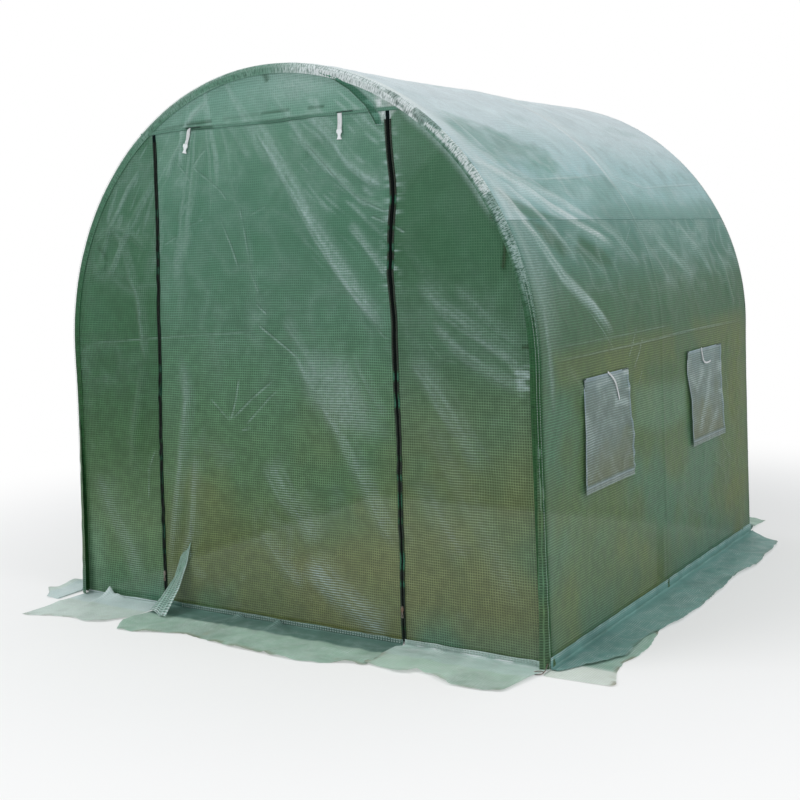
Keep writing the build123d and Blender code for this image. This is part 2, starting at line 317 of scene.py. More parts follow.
def blocks(name, centres, xs, ys, zs, size, material, slot):
    """Many small rounded blocks as one mesh: each has its own axes, and a narrower top."""
    centres = np.asarray(centres, float)
    xs, ys, zs = (np.broadcast_to(np.asarray(a, float), centres.shape) for a in (xs, ys, zs))
    half = np.asarray(size, float) / 2
    corners, order = [], []
    rings = ((-1.0, 0.8), (0.2, 1.0), (1.0, 0.55))
    for level, spread in rings:
        for sx, sy in ((-1, -1), (1, -1), (1, 1), (-1, 1)):
            corners.append((sx * spread * half[0], sy * spread * half[1], level * half[2]))
    for ring in range(len(rings) - 1):
        for k in range(4):
            a, b = ring * 4 + k, ring * 4 + (k + 1) % 4
            order.append((a, b, b + 4, a + 4))
    last = 4 * (len(rings) - 1)
    order.append((last, last + 1, last + 2, last + 3))
    order.append((3, 2, 1, 0))
    corners = np.array(corners)
    points = (
        centres[:, None]
        + xs[:, None] * corners[None, :, :1]
        + ys[:, None] * corners[None, :, 1:2]
        + zs[:, None] * corners[None, :, 2:]
    )
    faces = np.array(order)[None] + len(corners) * np.arange(len(centres))[:, None, None]
    new_piece(name, points, faces.reshape(-1, 4), material)


def resample(path, pitch):
    """Points a pitch apart along a path, with the path's direction at each."""
    path = np.asarray(path, float)
    run = np.concatenate([[0], np.cumsum(np.linalg.norm(np.diff(path, axis=0), axis=1))])
    places = np.arange(pitch / 2, run[-1], pitch)
    points = np.stack([np.interp(places, run, path[:, k]) for k in range(3)], -1)
    ahead = np.stack([np.interp(places + 0.002, run, path[:, k]) for k in range(3)], -1)
    back = np.stack([np.interp(places - 0.002, run, path[:, k]) for k in range(3)], -1)
    return points, unit(ahead - back)


def stitches(name, rows, material, pitch=0.008, size=(0.0052, 0.0012, 0.001)):
    """Rows of stitches, each row a path and the direction that it faces."""
    sets = []
    for path, facing in rows:
        points, direction = resample(path, pitch)
        facing = np.broadcast_to(np.asarray(facing, float), points.shape)
        sets.append((points + facing * 0.0006, direction, np.cross(facing, direction), facing))
    joined = [np.concatenate([s[k] for s in sets]) for k in range(4)]
    blocks(name, *joined, size, material, "webbing")


# ---- Materials ----------------------------------------------------------------------------------
class Value:
    """A node's output. Arithmetic with it adds Math nodes to its tree."""

    def __init__(self, nodes, socket):
        self.nodes, self.socket = nodes, socket

    def __add__(self, other):
        return self.nodes.math("ADD", self, other)

    def __radd__(self, other):
        return self.nodes.math("ADD", other, self)

    def __sub__(self, other):
        return self.nodes.math("SUBTRACT", self, other)

    def __rsub__(self, other):
        return self.nodes.math("SUBTRACT", other, self)

    def __mul__(self, other):
        return self.nodes.math("MULTIPLY", self, other)

    def __truediv__(self, other):
        return self.nodes.math("DIVIDE", self, other)

    def __abs__(self):
        return self.nodes.math("ABSOLUTE", self)

    def mapped(self, low, high, to_low, to_high, kind="SMOOTHSTEP"):
        """The value carried from one range to another."""
        inputs = {0: self, 1: low, 2: high, 3: to_low, 4: to_high}
        return self.nodes.add("MapRange", inputs, interpolation_type=kind)

    def mixed(self, a, b):
        """Colour a where the value is 0, and colour b where it is 1."""
        a, b = (colour if isinstance(colour, Value) else (*colour, 1) for colour in (a, b))
        return self.nodes.add("Mix", {0: self, 6: a, 7: b}, 2, data_type="RGBA", blend_type="MIX")


class Nodes:
    """The node tree of a material or a world, emptied, and the kinds of node it is built from."""

    def __init__(self, owner):
        owner.use_nodes = True
        self.owner, self.tree = owner, owner.node_tree
        self.tree.nodes.clear()

    def add(self, kind, inputs=None, out=0, **settings):
        """A new node's output, or a list of its outputs if out is a tuple."""
        made = self.tree.nodes.new("ShaderNode" + kind)
        for key, value in settings.items():
            setattr(made, key, value)
        for key, value in (inputs or {}).items():
            if isinstance(value, Value):
                self.tree.links.new(value.socket, made.inputs[key])
            else:
                made.inputs[key].default_value = value
        if isinstance(out, tuple):
            return [Value(self, made.outputs[key]) for key in out]
        return Value(self, made.outputs[out])

    def finish(self, shader, kind="Material"):
        """Makes a shader the surface, and returns the material or world."""
        output = self.tree.nodes.new("ShaderNodeOutput" + kind)
        self.tree.links.new(shader.socket, output.inputs["Surface"])
        return self.owner

    def math(self, operation, *values):
        """The result of a Math node."""
        return self.add("Math", dict(enumerate(values)), operation=operation)

    def place(self):
        """The place on the object, in metres."""
        return self.add("TexCoord", None, "Object")

    def scaled(self, colour, factor):
        """A colour times a number."""
        return self.add("VectorMath", {0: colour, "Scale": factor}, operation="SCALE")

    def speckle(self, scale, detail=4.0, rough=0.55, kind="FBM", vector=None):
        """Noise in metres, fixed to the object."""
        inputs = {"Vector": vector or self.place(), "Scale": scale, "Detail": detail, "Roughness": rough}
        return self.add("TexNoise", inputs, noise_type=kind)

    def bumped(self, height, distance):
        """A normal from a height of 0 to 1."""
        return self.add("Bump", {"Height": height, "Distance": distance, "Strength": 1.0})

    def threads(self, pitch, thin, thick):
        """The reinforcing threads, 1 on a thread: those along the cloth and those across it."""
        cloth = self.add("UVMap", uv_map="cloth")
        drift = self.add("TexNoise", {"Vector": self.place(), "Scale": 9.0, "Detail": 3.0}, "Color")
        wander = self.scaled(drift, 0.9 * pitch)
        cloth = self.add("VectorMath", {0: cloth, 1: wander}, operation="ADD")
        axes = self.add("SeparateXYZ", {0: cloth}, (0, 1))
        return [self.math("PINGPONG", axis / pitch, 0.5).mapped(thin, thick, 1.0, 0.0) for axis in axes]


def film_material(
    name, light=1.56, dark=0.68, see_through=0.07, glow=0.24, rough=0.42, crumple=0.5, pleated=False,
):
    """Grid-reinforced film: tinted, crinkled and translucent, with painted sheen, painted highlights and
    shadows at creases, and gathered in fine pleats if pleated.
    """
    n = Nodes(bpy.data.materials.new(name))
    tint, shine = n.add("Attribute", None, ("Color", "Alpha"), attribute_name="tint")
    along_line, across_line = n.threads(GRID, 0.07, 0.24)
    grid = n.math("MAXIMUM", along_line, across_line)
    wear = n.speckle(34.0, 3.0)
    lines = grid * wear.mapped(0.30, 0.70, 0.55, 1.0)
    level = n.add("SeparateXYZ", {0: n.place()}, 2)
    mean, contrast = 0.41, level.mapped(0.75, 1.45, 1.35, 0.40)
    shade = dark + mean * (light - dark) + (lines - mean) * (light - dark) * contrast
    shade = shade * n.speckle(260.0, 2.0).mapped(0.2, 0.8, 0.92, 1.08, "LINEAR")
    mottle = n.speckle(7.0, 5.0).mapped(0.2, 0.8, 0.90, 1.10, "LINEAR")
    colour = (lines * 0.10).mixed(n.scaled(tint, shade * mottle), (0.30, 0.38, 0.33))

    distance = n.add("Attribute", None, "Fac", attribute_name="crease")
    weight = n.add("Attribute", None, "Fac", attribute_name="crease_weight")
    crease = abs(distance).mapped(0.0006, 0.0066, 1.0, 0.0) * weight
    crease = crease * wear.mapped(0.25, 0.6, 0.35, 1.0)
    ribs = grid * 0.30 + across_line * 0.46
    ribbed = level.mapped(1.25, 1.55, 1.0, 0.25)
    lit_threads = 0.72 - ribbed * 0.34 + ribs * ribbed
    low_threads = 0.14 + across_line * 1.05
    lit_threads = lit_threads + (low_threads - lit_threads) * level.mapped(0.55, 0.95, 1.0, 0.0)
    crinkle = n.speckle(16.0, 5.0, 0.5, "RIDGED_MULTIFRACTAL").mapped(0.2, 1.6, 0.0, 1.0, "LINEAR")
    streak = n.speckle(75.0, 3.0, 0.6).mapped(0.3, 0.7, 0.55, 1.2, "LINEAR")
    if pleated:
        cloth = n.add("UVMap", uv_map="cloth")
        drawn_in = n.add("VectorMath", {0: cloth, 1: (1.0, 0.20, 1.0)}, operation="MULTIPLY")
        pleats = n.speckle(260.0, 1.5, 0.6, vector=drawn_in)
        # Painted highlights on the pleats' crests.
        streak = pleats.mapped(0.40, 0.60, 0.10, 1.55)
        lit_threads = 0.82 + grid * 0.12
        # Painted shade in the pleats' hollows.
        colour = n.scaled(colour, pleats.mapped(0.34, 0.52, 0.62, 1.08))
    # Painted highlight: the tint's alpha on folds, the creases and the crinkle flecks turn the colour pale.
    gleam = n.math("MAXIMUM", shine * streak * (lit_threads * 1.15), crease * lit_threads)
    flecks = crinkle.mapped(0.58, 0.95, 0.0, 0.24) * lit_threads
    gleam = n.math("MINIMUM", gleam + flecks, 0.92)
    # Painted shadow on one side of each crease.
    shadow = abs(distance - 0.0056).mapped(0.0005, 0.0046, 0.45, 0.0) * weight
    colour = n.scaled(colour, 1.0 - shadow)
    paleness = n.add("RGBToBW", {0: tint}).mapped(0.16, 0.42, 0.0, 1.0)
    colour = gleam.mixed(colour, paleness.mixed((0.46, 0.60, 0.59), (0.84, 0.89, 0.90)))

    normal = n.bumped(crinkle * crumple + grid * 0.16 + crease * 0.7, 0.0022)
    roughness = wear.mapped(0.2, 0.8, rough - 0.07, rough + 0.10, "LINEAR")
    inputs = {"Base Color": colour, "Roughness": roughness, "Normal": normal, "Specular IOR Level": 0.32}
    plain = n.add("BsdfPrincipled", inputs)
    through = n.add("BsdfTranslucent", {"Color": colour, "Normal": normal})
    lit = n.add("MixShader", {0: glow, 1: plain, 2: through})
    clear = n.add("BsdfTransparent", {"Color": (0.80, 0.92, 0.86, 1)})
    return n.finish(n.add("MixShader", {0: see_through, 1: lit, 2: clear}))


def screen_material():
    """Fine insect mesh: threads with clear holes between them."""
    n = Nodes(bpy.data.materials.new("insect mesh"))
    threads = n.math("MAXIMUM", *n.threads(0.0022, 0.16, 0.26))
    tone = n.speckle(40.0).mapped(0.3, 0.7, 0.9, 1.1, "LINEAR")
    colour = n.scaled((0.20, 0.26, 0.23), tone)
    cloth = n.add("BsdfPrincipled", {"Base Color": colour, "Roughness": 0.7})
    clear = n.add("BsdfTransparent")
    return n.finish(n.add("MixShader", {0: 0.25 + threads * 0.7, 1: clear, 2: cloth}))


def woven_material(name, colour, pitch=0.0016, rough=0.75, wear=0.25, gloss=0.35):
    """Webbing or tape: ribs across it, and a slightly soiled colour."""
    n = Nodes(bpy.data.materials.new(name))
    along_line, across_line = n.threads(pitch, 0.05, 0.45)
    ribs = along_line * 0.7 + across_line
    soil = n.speckle(55.0, 5.0).mapped(0.35, 0.75, 0.0, wear)
    base = soil.mixed(colour, tuple(0.45 * c for c in colour))
    return n.finish(n.add("BsdfPrincipled", {
        "Base Color": n.scaled(base, ribs.mapped(0.0, 1.6, 0.84, 1.10, "LINEAR")),
        "Roughness": rough,
        "Normal": n.bumped(ribs, 0.0004),
        "Specular IOR Level": gloss,
    }))


def moulded_material(name, colour, rough=0.45, scuff=0.15, gloss=0.5):
    """Moulded plastic with faint grain and scuffs."""
    n = Nodes(bpy.data.materials.new(name))
    grain = n.speckle(900.0, 2.0)
    scuffs = n.speckle(45.0, 6.0, 0.7).mapped(0.45, 0.75, 0.0, scuff)
    return n.finish(n.add("BsdfPrincipled", {
        "Base Color": scuffs.mixed(colour, (0.45, 0.46, 0.44)),
        "Roughness": grain.mapped(0.2, 0.8, rough - 0.08, rough + 0.12, "LINEAR"),
        "Normal": n.bumped(grain, 0.0002),
        "Specular IOR Level": gloss,
    }))


def metal_material(name, colour, rough=0.38, rust=0.0):
    """Galvanised or tarnished metal: spangle, dull patches and rust."""
    n = Nodes(bpy.data.materials.new(name))
    spangle = n.add("TexVoronoi", {"Vector": n.place(), "Scale": 150.0}, "Color")
    tone = n.add("SeparateColor", {0: spangle}).mapped(0.0, 1.0, 0.84, 1.08, "LINEAR")
    stain = n.speckle(60.0, 6.0, 0.65)
    rusty = stain.mapped(0.60 - 0.3 * rust, 0.78 - 0.2 * rust, 0.0, min(1.0, 0.15 + rust))
    return n.finish(n.add("BsdfPrincipled", {
        "Base Color": n.scaled(rusty.mixed(colour, (0.19, 0.075, 0.03)), tone),
        "Metallic": rusty.mapped(0.0, 1.0, 0.85, 0.1, "LINEAR"),
        "Roughness": stain.mapped(0.2, 0.8, rough - 0.08, rough + 0.2, "LINEAR"),
        "Normal": n.bumped(stain, 0.0003),
    }))


film = film_material("cover film")
skirt_film = film_material(
    "skirt film", light=1.12, dark=0.93, see_through=0.02, glow=0.12, rough=0.5, crumple=0.8,
)
seam_film = film_material("seam film", light=1.16, dark=0.92, crumple=0.9, pleated=True)
window_film = film_material(
    "window film", light=1.40, dark=0.76, see_through=0.05, glow=0.3, rough=0.36, crumple=0.2,
)
screen_mesh = screen_material()
white_webbing = woven_material("white webbing", (0.74, 0.77, 0.78))
white_plastic = moulded_material("white buckle plastic", (0.70, 0.74, 0.75))
dark_webbing = woven_material("dark webbing", (0.022, 0.045, 0.036))
zip_tape = woven_material("zip tape", (0.004, 0.010, 0.010), 0.0012, 0.95, 0.1, 0.03)
zip_coil = moulded_material("zip coil", (0.002, 0.003, 0.003), 0.5, 0.01, 0.08)
pale_thread = woven_material("pale thread", (0.42, 0.55, 0.50), 0.0006, 0.6)
seam_thread = woven_material("film thread", (0.10, 0.20, 0.165), 0.0006, 0.6)
dark_thread = woven_material("dark thread", (0.02, 0.055, 0.042), 0.0006, 0.6)
galvanised = metal_material("galvanised steel", (0.58, 0.60, 0.60))
pressed_steel = metal_material("pressed steel", (0.50, 0.52, 0.52), 0.45)
rusty_metal = metal_material("tarnished slider", (0.20, 0.18, 0.16), 0.45, 0.45)
dark_plastic = moulded_material("dark fitting plastic", (0.03, 0.038, 0.035))

node_materials = {
    "steel": galvanised,
    "bracket": pressed_steel,
    "connector": dark_plastic,
    "zip_metal": rusty_metal,
}
for part in frame["record"]["subparts"]:
    if part["material_slot"] in node_materials:
        node_object = frame["nodes"][part["node"]]
        for place in node_object.material_slots:
            place.material = node_materials[part["material_slot"]]

# ---- Colours of the cover -----------------------------------------------------------------------
SHEEN = srgb(198, 210, 215)
# Olive of dirt low on the film, and of the ground seen through it, painted.
EARTH = srgb(116, 113, 80)
DOOR_TONES = screen_stops(
    (0.00, 97, 106, 77), (0.25, 99, 108, 80), (0.50, 88, 112, 88), (0.80, 84, 115, 94),
    (1.10, 84, 117, 102), (1.40, 75, 113, 97), (1.70, 86, 124, 109), (1.90, 108, 146, 138),
)
LEFT_TONES = screen_stops(
    (0.00, 90, 116, 92), (0.30, 96, 118, 93), (0.60, 72, 98, 75), (0.90, 64, 95, 76),
    (1.20, 64, 98, 79), (1.45, 64, 99, 81), (1.70, 70, 106, 90),
)
RIGHT_TONES = screen_stops(
    (0.00, 99, 104, 77), (0.35, 96, 109, 83), (0.70, 88, 111, 92), (1.00, 75, 103, 87),
    (1.30, 65, 98, 80), (1.70, 70, 104, 86),
)
BAND_TONES = screen_stops(
    (0.00, 52, 82, 60), (0.90, 50, 84, 62), (1.30, 66, 104, 84), (1.90, 98, 136, 122),
)
TOP_TONES = screen_stops((1.72, 98, 137, 123), (1.80, 102, 141, 129), (1.94, 116, 152, 144))
WALL_TONES = screen_stops(
    (0.00, 84, 110, 92), (0.10, 88, 108, 84), (0.45, 93, 111, 83), (0.80, 79, 100, 75),
    (1.00, 71, 98, 80), (1.14, 73, 103, 86), (1.27, 84, 121, 112), (HIP_S, 98, 139, 134),
)
# Paler towards the ridge: painted sky sheen.
ROOF_TONES = screen_stops(
    (HIP_S, 136, 173, 174), (HIP_S + 0.08, 152, 186, 189), (HIP_S + 0.20, 168, 198, 204),
    (HIP_S + 0.45, 208, 222, 229), (HIP_S + 0.80, 222, 231, 238), (HALF, 223, 232, 239),
)

# ---- Folds of the front: lines across and up, width, height, paleness of the painted sheen ------
FRONT_FOLDS = [
    (
        [(-0.10, 1.80), (-0.01, 1.68), (0.10, 1.51), (0.20, 1.35), (0.32, 1.19), (0.46, 1.03)], 0.032,
        0.011, 0.92,
    ),
    (
        [(0.13, 1.77), (0.20, 1.74), (0.27, 1.67), (0.33, 1.59), (0.40, 1.54), (0.48, 1.50)], 0.026, 0.009,
        0.92,
    ),
    (
        [(-0.02, 1.88), (0.09, 1.76), (0.14, 1.68), (0.23, 1.59), (0.37, 1.47), (0.52, 1.41)], 0.018, 0.006,
        0.55,
    ),
    ([(0.31, 1.40), (0.36, 1.35), (0.42, 1.28), (0.47, 1.21)], 0.020, 0.006, 0.80),
    ([(-0.24, 1.85), (-0.33, 1.80), (-0.38, 1.74), (-0.40, 1.60)], 0.022, 0.006, 0.50),
    ([(-0.14, 1.74), (-0.17, 1.60), (-0.12, 1.39), (-0.10, 1.25), (-0.05, 1.10)], 0.022, 0.005, 0.20),
    ([(-0.26, 1.75), (-0.31, 1.62), (-0.36, 1.45), (-0.40, 1.25)], 0.025, 0.006, 0.22),
    (
        [(-0.45, 0.98), (-0.43, 0.79), (-0.46, 0.63), (-0.50, 0.44), (-0.54, 0.24), (-0.57, 0.10)], 0.028,
        0.010, 0.50,
    ),
    (
        [(0.05, 1.02), (0.15, 0.84), (0.25, 0.70), (0.34, 0.53), (0.40, 0.41), (0.46, 0.32)], 0.036, 0.009,
        0.66,
    ),
    ([(-0.08, 0.60), (0.00, 0.47), (0.08, 0.40), (0.14, 0.30)], 0.054, 0.006, 0.66),
    ([(0.07, 0.25), (0.20, 0.14), (0.31, 0.07), (0.42, 0.01)], 0.054, 0.007, 0.92),
    ([(-0.86, 1.36), (-0.76, 1.42), (-0.66, 1.40), (-0.56, 1.32)], 0.026, 0.006, 0.26),
    ([(-0.90, 1.24), (-0.80, 1.28), (-0.68, 1.24), (-0.58, 1.14)], 0.022, 0.005, 0.20),
    ([(-0.78, 1.48), (-0.70, 1.36), (-0.64, 1.15), (-0.62, 0.90)], 0.024, 0.006, 0.30),
    ([(-0.62, 0.95), (-0.70, 0.70), (-0.72, 0.45)], 0.030, 0.005, 0.12),
    ([(0.52, 0.98), (0.62, 0.86), (0.70, 0.74), (0.80, 0.58)], 0.040, 0.007, 0.46),
    ([(0.52, 1.36), (0.60, 1.24), (0.72, 1.14)], 0.030, 0.005, 0.10),
    ([(0.56, 1.22), (0.66, 1.12), (0.80, 1.03), (0.96, 0.92)], 0.034, 0.005, 0.62),
    ([(0.60, 1.10), (0.71, 0.99), (0.86, 0.90), (0.96, 0.86)], 0.026, 0.005, 0.50),
    ([(0.70, 1.20), (0.82, 1.09), (0.95, 1.00)], 0.024, 0.004, 0.40),
    ([(0.55, 0.58), (0.62, 0.44), (0.72, 0.30)], 0.050, 0.005, 0.24),
    ([(-0.20, 1.15), (-0.28, 1.00), (-0.24, 0.88)], 0.030, 0.005, 0.10),
    ([(-0.20, 1.78), (-0.14, 1.72), (-0.08, 1.62)], 0.016, 0.004, 0.45),
    ([(-0.36, 1.74), (-0.43, 1.66), (-0.47, 1.58)], 0.014, 0.005, 0.50),
    ([(-0.50, 1.62), (-0.62, 1.48), (-0.72, 1.34), (-0.80, 1.20)], 0.018, 0.005, 0.42),
    ([(-0.56, 1.66), (-0.66, 1.56), (-0.76, 1.42), (-0.85, 1.26)], 0.014, 0.004, 0.38),
    ([(0.02, 1.10), (0.08, 1.02), (0.16, 0.92), (0.20, 0.82)], 0.030, 0.005, 0.40),
    ([(0.30, 0.98), (0.37, 0.86), (0.44, 0.74)], 0.024, 0.005, 0.34),
    ([(0.58, 0.80), (0.70, 0.56), (0.80, 0.36), (0.90, 0.16)], 0.050, 0.004, 0.20),
    ([(-0.12, 0.34), (-0.02, 0.22), (0.08, 0.14)], 0.040, 0.005, 0.34),
    ([(-0.90, 0.50), (-0.84, 0.34), (-0.76, 0.20), (-0.72, 0.06)], 0.050, 0.004, 0.40),
    ([(-0.40, 0.62), (-0.42, 0.46), (-0.44, 0.30), (-0.50, 0.16)], 0.034, 0.006, 0.40),
]

# Sharp creases of the front, with how strongly they show
FRONT_CREASES = [
    ([(-0.44, 1.67), (-0.37, 1.59), (-0.34, 1.55)], 0.55),
    ([(-0.35, 1.63), (-0.22, 1.53), (-0.19, 1.49)], 0.60),
    ([(-0.24, 1.46), (-0.19, 1.35), (-0.15, 1.24)], 0.65),
    ([(-0.14, 1.49), (-0.12, 1.39), (-0.10, 1.25), (-0.06, 1.15)], 0.55),
    ([(-0.09, 1.14), (-0.04, 1.10)], 0.9),
    ([(-0.09, 1.07), (0.03, 0.99), (0.09, 0.95)], 0.85),
    ([(-0.40, 1.40), (-0.30, 1.44)], 0.5),
    ([(-0.50, 1.35), (-0.43, 1.38)], 0.5),
    ([(-0.34, 1.62), (-0.27, 1.68)], 0.6),
    ([(-0.10, 1.44), (-0.02, 1.47)], 0.4),
    ([(-0.24, 1.86), (-0.33, 1.80), (-0.36, 1.77)], 0.6),
    ([(0.14, 1.68), (0.23, 1.59), (0.29, 1.53), (0.37, 1.47), (0.44, 1.44), (0.52, 1.41)], 0.95),
    ([(0.40, 1.42), (0.48, 1.39), (0.54, 1.36)], 0.8),
    ([(0.31, 1.40), (0.36, 1.35), (0.42, 1.28), (0.47, 1.21)], 0.5),
    ([(0.20, 1.35), (0.32, 1.17), (0.44, 1.03), (0.48, 1.02)], 0.45),
    ([(-0.23, 0.72), (-0.20, 0.80), (-0.18, 0.88)], 0.8),
    ([(-0.23, 0.72), (-0.32, 0.80)], 0.5),
    ([(-0.22, 0.73), (-0.12, 0.81), (-0.02, 0.88)], 0.85),
    ([(-0.16, 0.71), (-0.05, 0.81), (-0.01, 0.84)], 0.7),
    ([(-0.18, 0.69), (-0.14, 0.70)], 0.7),
    ([(-0.44, 0.36), (-0.45, 0.21), (-0.49, 0.15), (-0.54, 0.06)], 0.95),
    ([(-0.60, 0.60), (-0.64, 0.52), (-0.65, 0.40)], 0.6),
    ([(-0.86, 1.36), (-0.76, 1.42), (-0.66, 1.40)], 0.35),
    ([(-0.93, 0.99), (-0.70, 1.005), (-0.33, 1.03), (-0.10, 1.04)], 0.42),
    ([(0.60, 1.02), (0.66, 0.96), (0.72, 0.95)], 0.3),
]

# Folds and creases of the roof: degrees above the eave and places along the ridge
ROOF_FOLDS = [
    ([(48, -1.00), (40, -0.97), (35, -0.80), (30, -0.66), (25, -0.46), (20, -0.24)], 0.024, 0.008, 0.85),
    (
        [(38, -1.00), (33, -0.96), (28, -0.90), (22, -0.84), (16, -0.75), (10, -0.58), (3, -0.44)], 0.024,
        0.008, 0.95,
    ),
    ([(42, -0.98), (36, -0.93), (30, -0.80), (24, -0.70), (17, -0.60)], 0.014, 0.005, 0.55),
    ([(44, -0.95), (38, -0.84), (33, -0.66), (29, -0.48), (25, -0.30)], 0.018, 0.005, 0.55),
    ([(56, -0.97), (48, -0.95), (43, -0.90), (38.5, -0.80)], 0.016, 0.005, 0.60),
    ([(60, -0.90), (50, -0.86), (42, -0.84), (33, -0.62), (28, -0.44)], 0.020, 0.006, 0.35),
    ([(44, -0.97), (30, -0.97), (16, -0.96), (4, -0.95), (-10, -0.92)], 0.022, 0.004, 0.55),
    ([(24, -0.66), (19, -0.50), (15, -0.40)], 0.022, 0.005, 0.36),
    ([(27, -0.36), (24, -0.26), (21, -0.20), (16, -0.10)], 0.026, 0.005, 0.40),
    ([(27, -0.02), (20, 0.02), (12, 0.14)], 0.030, 0.005, 0.34),
    ([(24, 0.10), (17, 0.30), (12, 0.45)], 0.032, 0.005, 0.36),
    ([(26, 0.40), (18, 0.58), (12, 0.66)], 0.026, 0.005, 0.36),
    ([(22, 0.72), (14, 0.80), (4, 0.84)], 0.030, 0.006, 0.16),
    ([(62, -0.60), (52, -0.40), (46, -0.20)], 0.045, 0.008, 0.12),
    ([(75, -0.40), (60, 0.20), (50, 0.60)], 0.060, 0.008, 0.05),
    ([(70, 0.20), (56, 0.50), (44, 0.80)], 0.050, 0.008, 0.06),
    ([(0, -0.85), (-6, -0.70), (-14, -0.62)], 0.030, 0.004, 0.12),
]
ROOF_CREASES = [
    ([(37, -0.95), (37, -0.87), (35.8, -0.77), (36, -0.54), (37, -0.25), (38.3, 0.0)], 0.55),
    ([(38.3, 0.0), (36.7, 0.16), (35, 0.31), (35.9, 0.56), (37, 0.99)], 0.55),
    ([(68, -0.01), (54, 0.0), (40, 0.005), (26, 0.0), (12, 0.006)], 0.50),
    ([(52, -0.86), (50, -0.67), (47, -0.59), (45, -0.43)], 0.35),
    ([(20, -0.21), (25, -0.06)], 0.5),
    ([(27, 0.60), (24, 0.66), (21, 0.68)], 0.6),
    ([(30, 0.90), (25, 0.86), (20, 0.80)], 0.6),
    ([(19, -0.82), (13, -0.71), (5, -0.54), (0, -0.44)], 0.5),
    ([(4, -0.24), (-2, -0.32)], 0.45),
    ([(82, -0.60), (60, -0.56), (54, -0.50)], 0.15),
]
WALL_CREASES = [                             # up the wall and along it
    ([(EAVE + 0.012, -0.98), (EAVE + 0.008, -0.4), (EAVE + 0.014, 0.3), (EAVE + 0.010, 0.98)], 0.42),
    ([(EAVE + 0.055, -0.96), (EAVE + 0.048, -0.5), (EAVE + 0.052, 0.1)], 0.26),
    ([(0.52, 0.62), (0.44, 0.70), (0.36, 0.80)], 0.35),
    ([(0.40, 0.56), (0.36, 0.66), (0.40, 0.78)], 0.25),
    ([(0.86, -0.28), (0.92, -0.22), (0.97, -0.19)], 0.55),
    ([(0.80, -0.24), (0.85, -0.20)], 0.4),
    ([(0.17, -0.028), (0.08, -0.026), (0.01, -0.02)], 0.2),
    ([(0.75, 0.73), (0.66, 0.76), (0.58, 0.75)], 0.3),
    ([(0.30, 0.20), (0.24, 0.32), (0.20, 0.46)], 0.2),
]

# The ties and their tails, seen as shadows through the film they touch
FRONT_MARKS = [
    ([(0.842, 1.402), (0.885, 1.388)], 0.011, 0.85),
    ([(0.897, 1.345), (0.888, 1.290), (0.880, 1.237)], 0.010, 0.80),
    ([(0.938, 1.226), (0.964, 1.220)], 0.007, 0.60),
    ([(0.940, 1.002), (0.968, 1.004)], 0.008, 0.80),
    ([(-0.836, 1.354), (-0.800, 1.330), (-0.786, 1.296)], 0.008, 0.45),
    ([(-0.789, 1.297), (-0.802, 1.264)], 0.006, 0.40),
    ([(-0.020, 1.918), (0.000, 1.905), (0.010, 1.880)], 0.012, 0.70),
    ([(-0.36, 1.768), (-0.30, 1.769), (-0.24, 1.771)], 0.006, 0.70),
    ([(-0.52, 1.757), (-0.44, 1.762), (-0.36, 1.768)], 0.005, 0.40),
    ([(-0.03, 1.777), (0.03, 1.780), (0.10, 1.781)], 0.004, 0.65),
    ([(0.17, 1.780), (0.24, 1.779)], 0.004, 0.65),
    ([(-0.20, 1.773), (-0.03, 1.777)], 0.004, 0.30),
]


def creases(u, v, lines):
    """Each place's signed distance to the nearest crease, and how strongly that crease shows."""
    best = np.full(np.shape(u), 1e9)
    distance = np.full(np.shape(u), 1.0)
    weight = np.zeros(np.shape(u))
    for points, strength in lines:
        d, t = along(u, v, points)
        closer = np.abs(d) < best
        best = np.where(closer, np.abs(d), best)
        ends = smooth(t, 0.0, 0.12) * (1 - smooth(t, 0.88, 1.0))
        near = 1 - smooth(np.abs(d), 0.009, 0.014)
        distance = np.where(closer, d, distance)
        uneven = 0.72 + 0.28 * noise(t * 9, t * 0, len(points) + int(100 * points[0][0]) % 40)
        weight = np.where(closer, 0.72 * strength * ends * near * uneven, weight)
    return distance, weight


# ---- Cover over the hoops -----------------------------------------------------------------------
def cover_points(s, y, out, side):
    """Places on the cover: s up one side from the ground, y along it, out beyond its face."""
    over = np.clip(np.abs(y) - HOOP, 0, None) / WRAP
    radius = RADIUS - WRAP + (WRAP + out) * np.cos(over)
    along_y = np.sign(y) * (np.minimum(np.abs(y), HOOP) + (WRAP + out) * np.sin(over))
    angle = np.clip(s - EAVE, 0, None) / RADIUS
    x = side * radius * np.cos(angle)
    z = np.minimum(s, EAVE) + radius * np.sin(angle)
    return np.stack([x, along_y, z], -1)


def up(degrees):
    """How far up the cover an angle above the eave is."""
    return EAVE + RADIUS * math.radians(degrees)


def on_roof(corners):
    """An outline in metres, from degrees above the eave and places along the ridge."""
    return [(up(a), y) for a, y in corners]


def sag(s, y):
    """How far the film sinks between the hoops, the rails and the purlins."""
    bay = np.abs(np.sin(math.pi * (np.clip(y, -HOOP, HOOP) + HOOP) / HOOP))
    depth = np.zeros(np.broadcast(s, y).shape)
    for low, high, amount in ((0, EAVE, 0.007), (EAVE, HIP_S, 0.008), (HIP_S, HALF, 0.011)):
        t = np.clip((s - low) / (high - low), 0, 1)
        depth = depth + amount * np.sin(math.pi * t)
    return depth * bay


def clear_of_frame(s, y):
    """0 over the tubes and 1 away from them, so that folds never reach into the frame."""
    from_hoops = np.minimum(np.abs(y), np.abs(np.abs(y) - HOOP))
    from_purlins = np.minimum(np.abs(s - EAVE), np.abs(s - HIP_S))
    from_purlins = np.minimum(from_purlins, np.minimum(np.abs(s - HALF), s))
    return smooth(from_hoops, 0.012, 0.09) * smooth(from_purlins, 0.012, 0.07)


def roof_lines(lines):
    """Fold or crease lines in metres, from degrees and places along the ridge."""
    return [(on_roof(line[0]), *line[1:]) for line in lines]


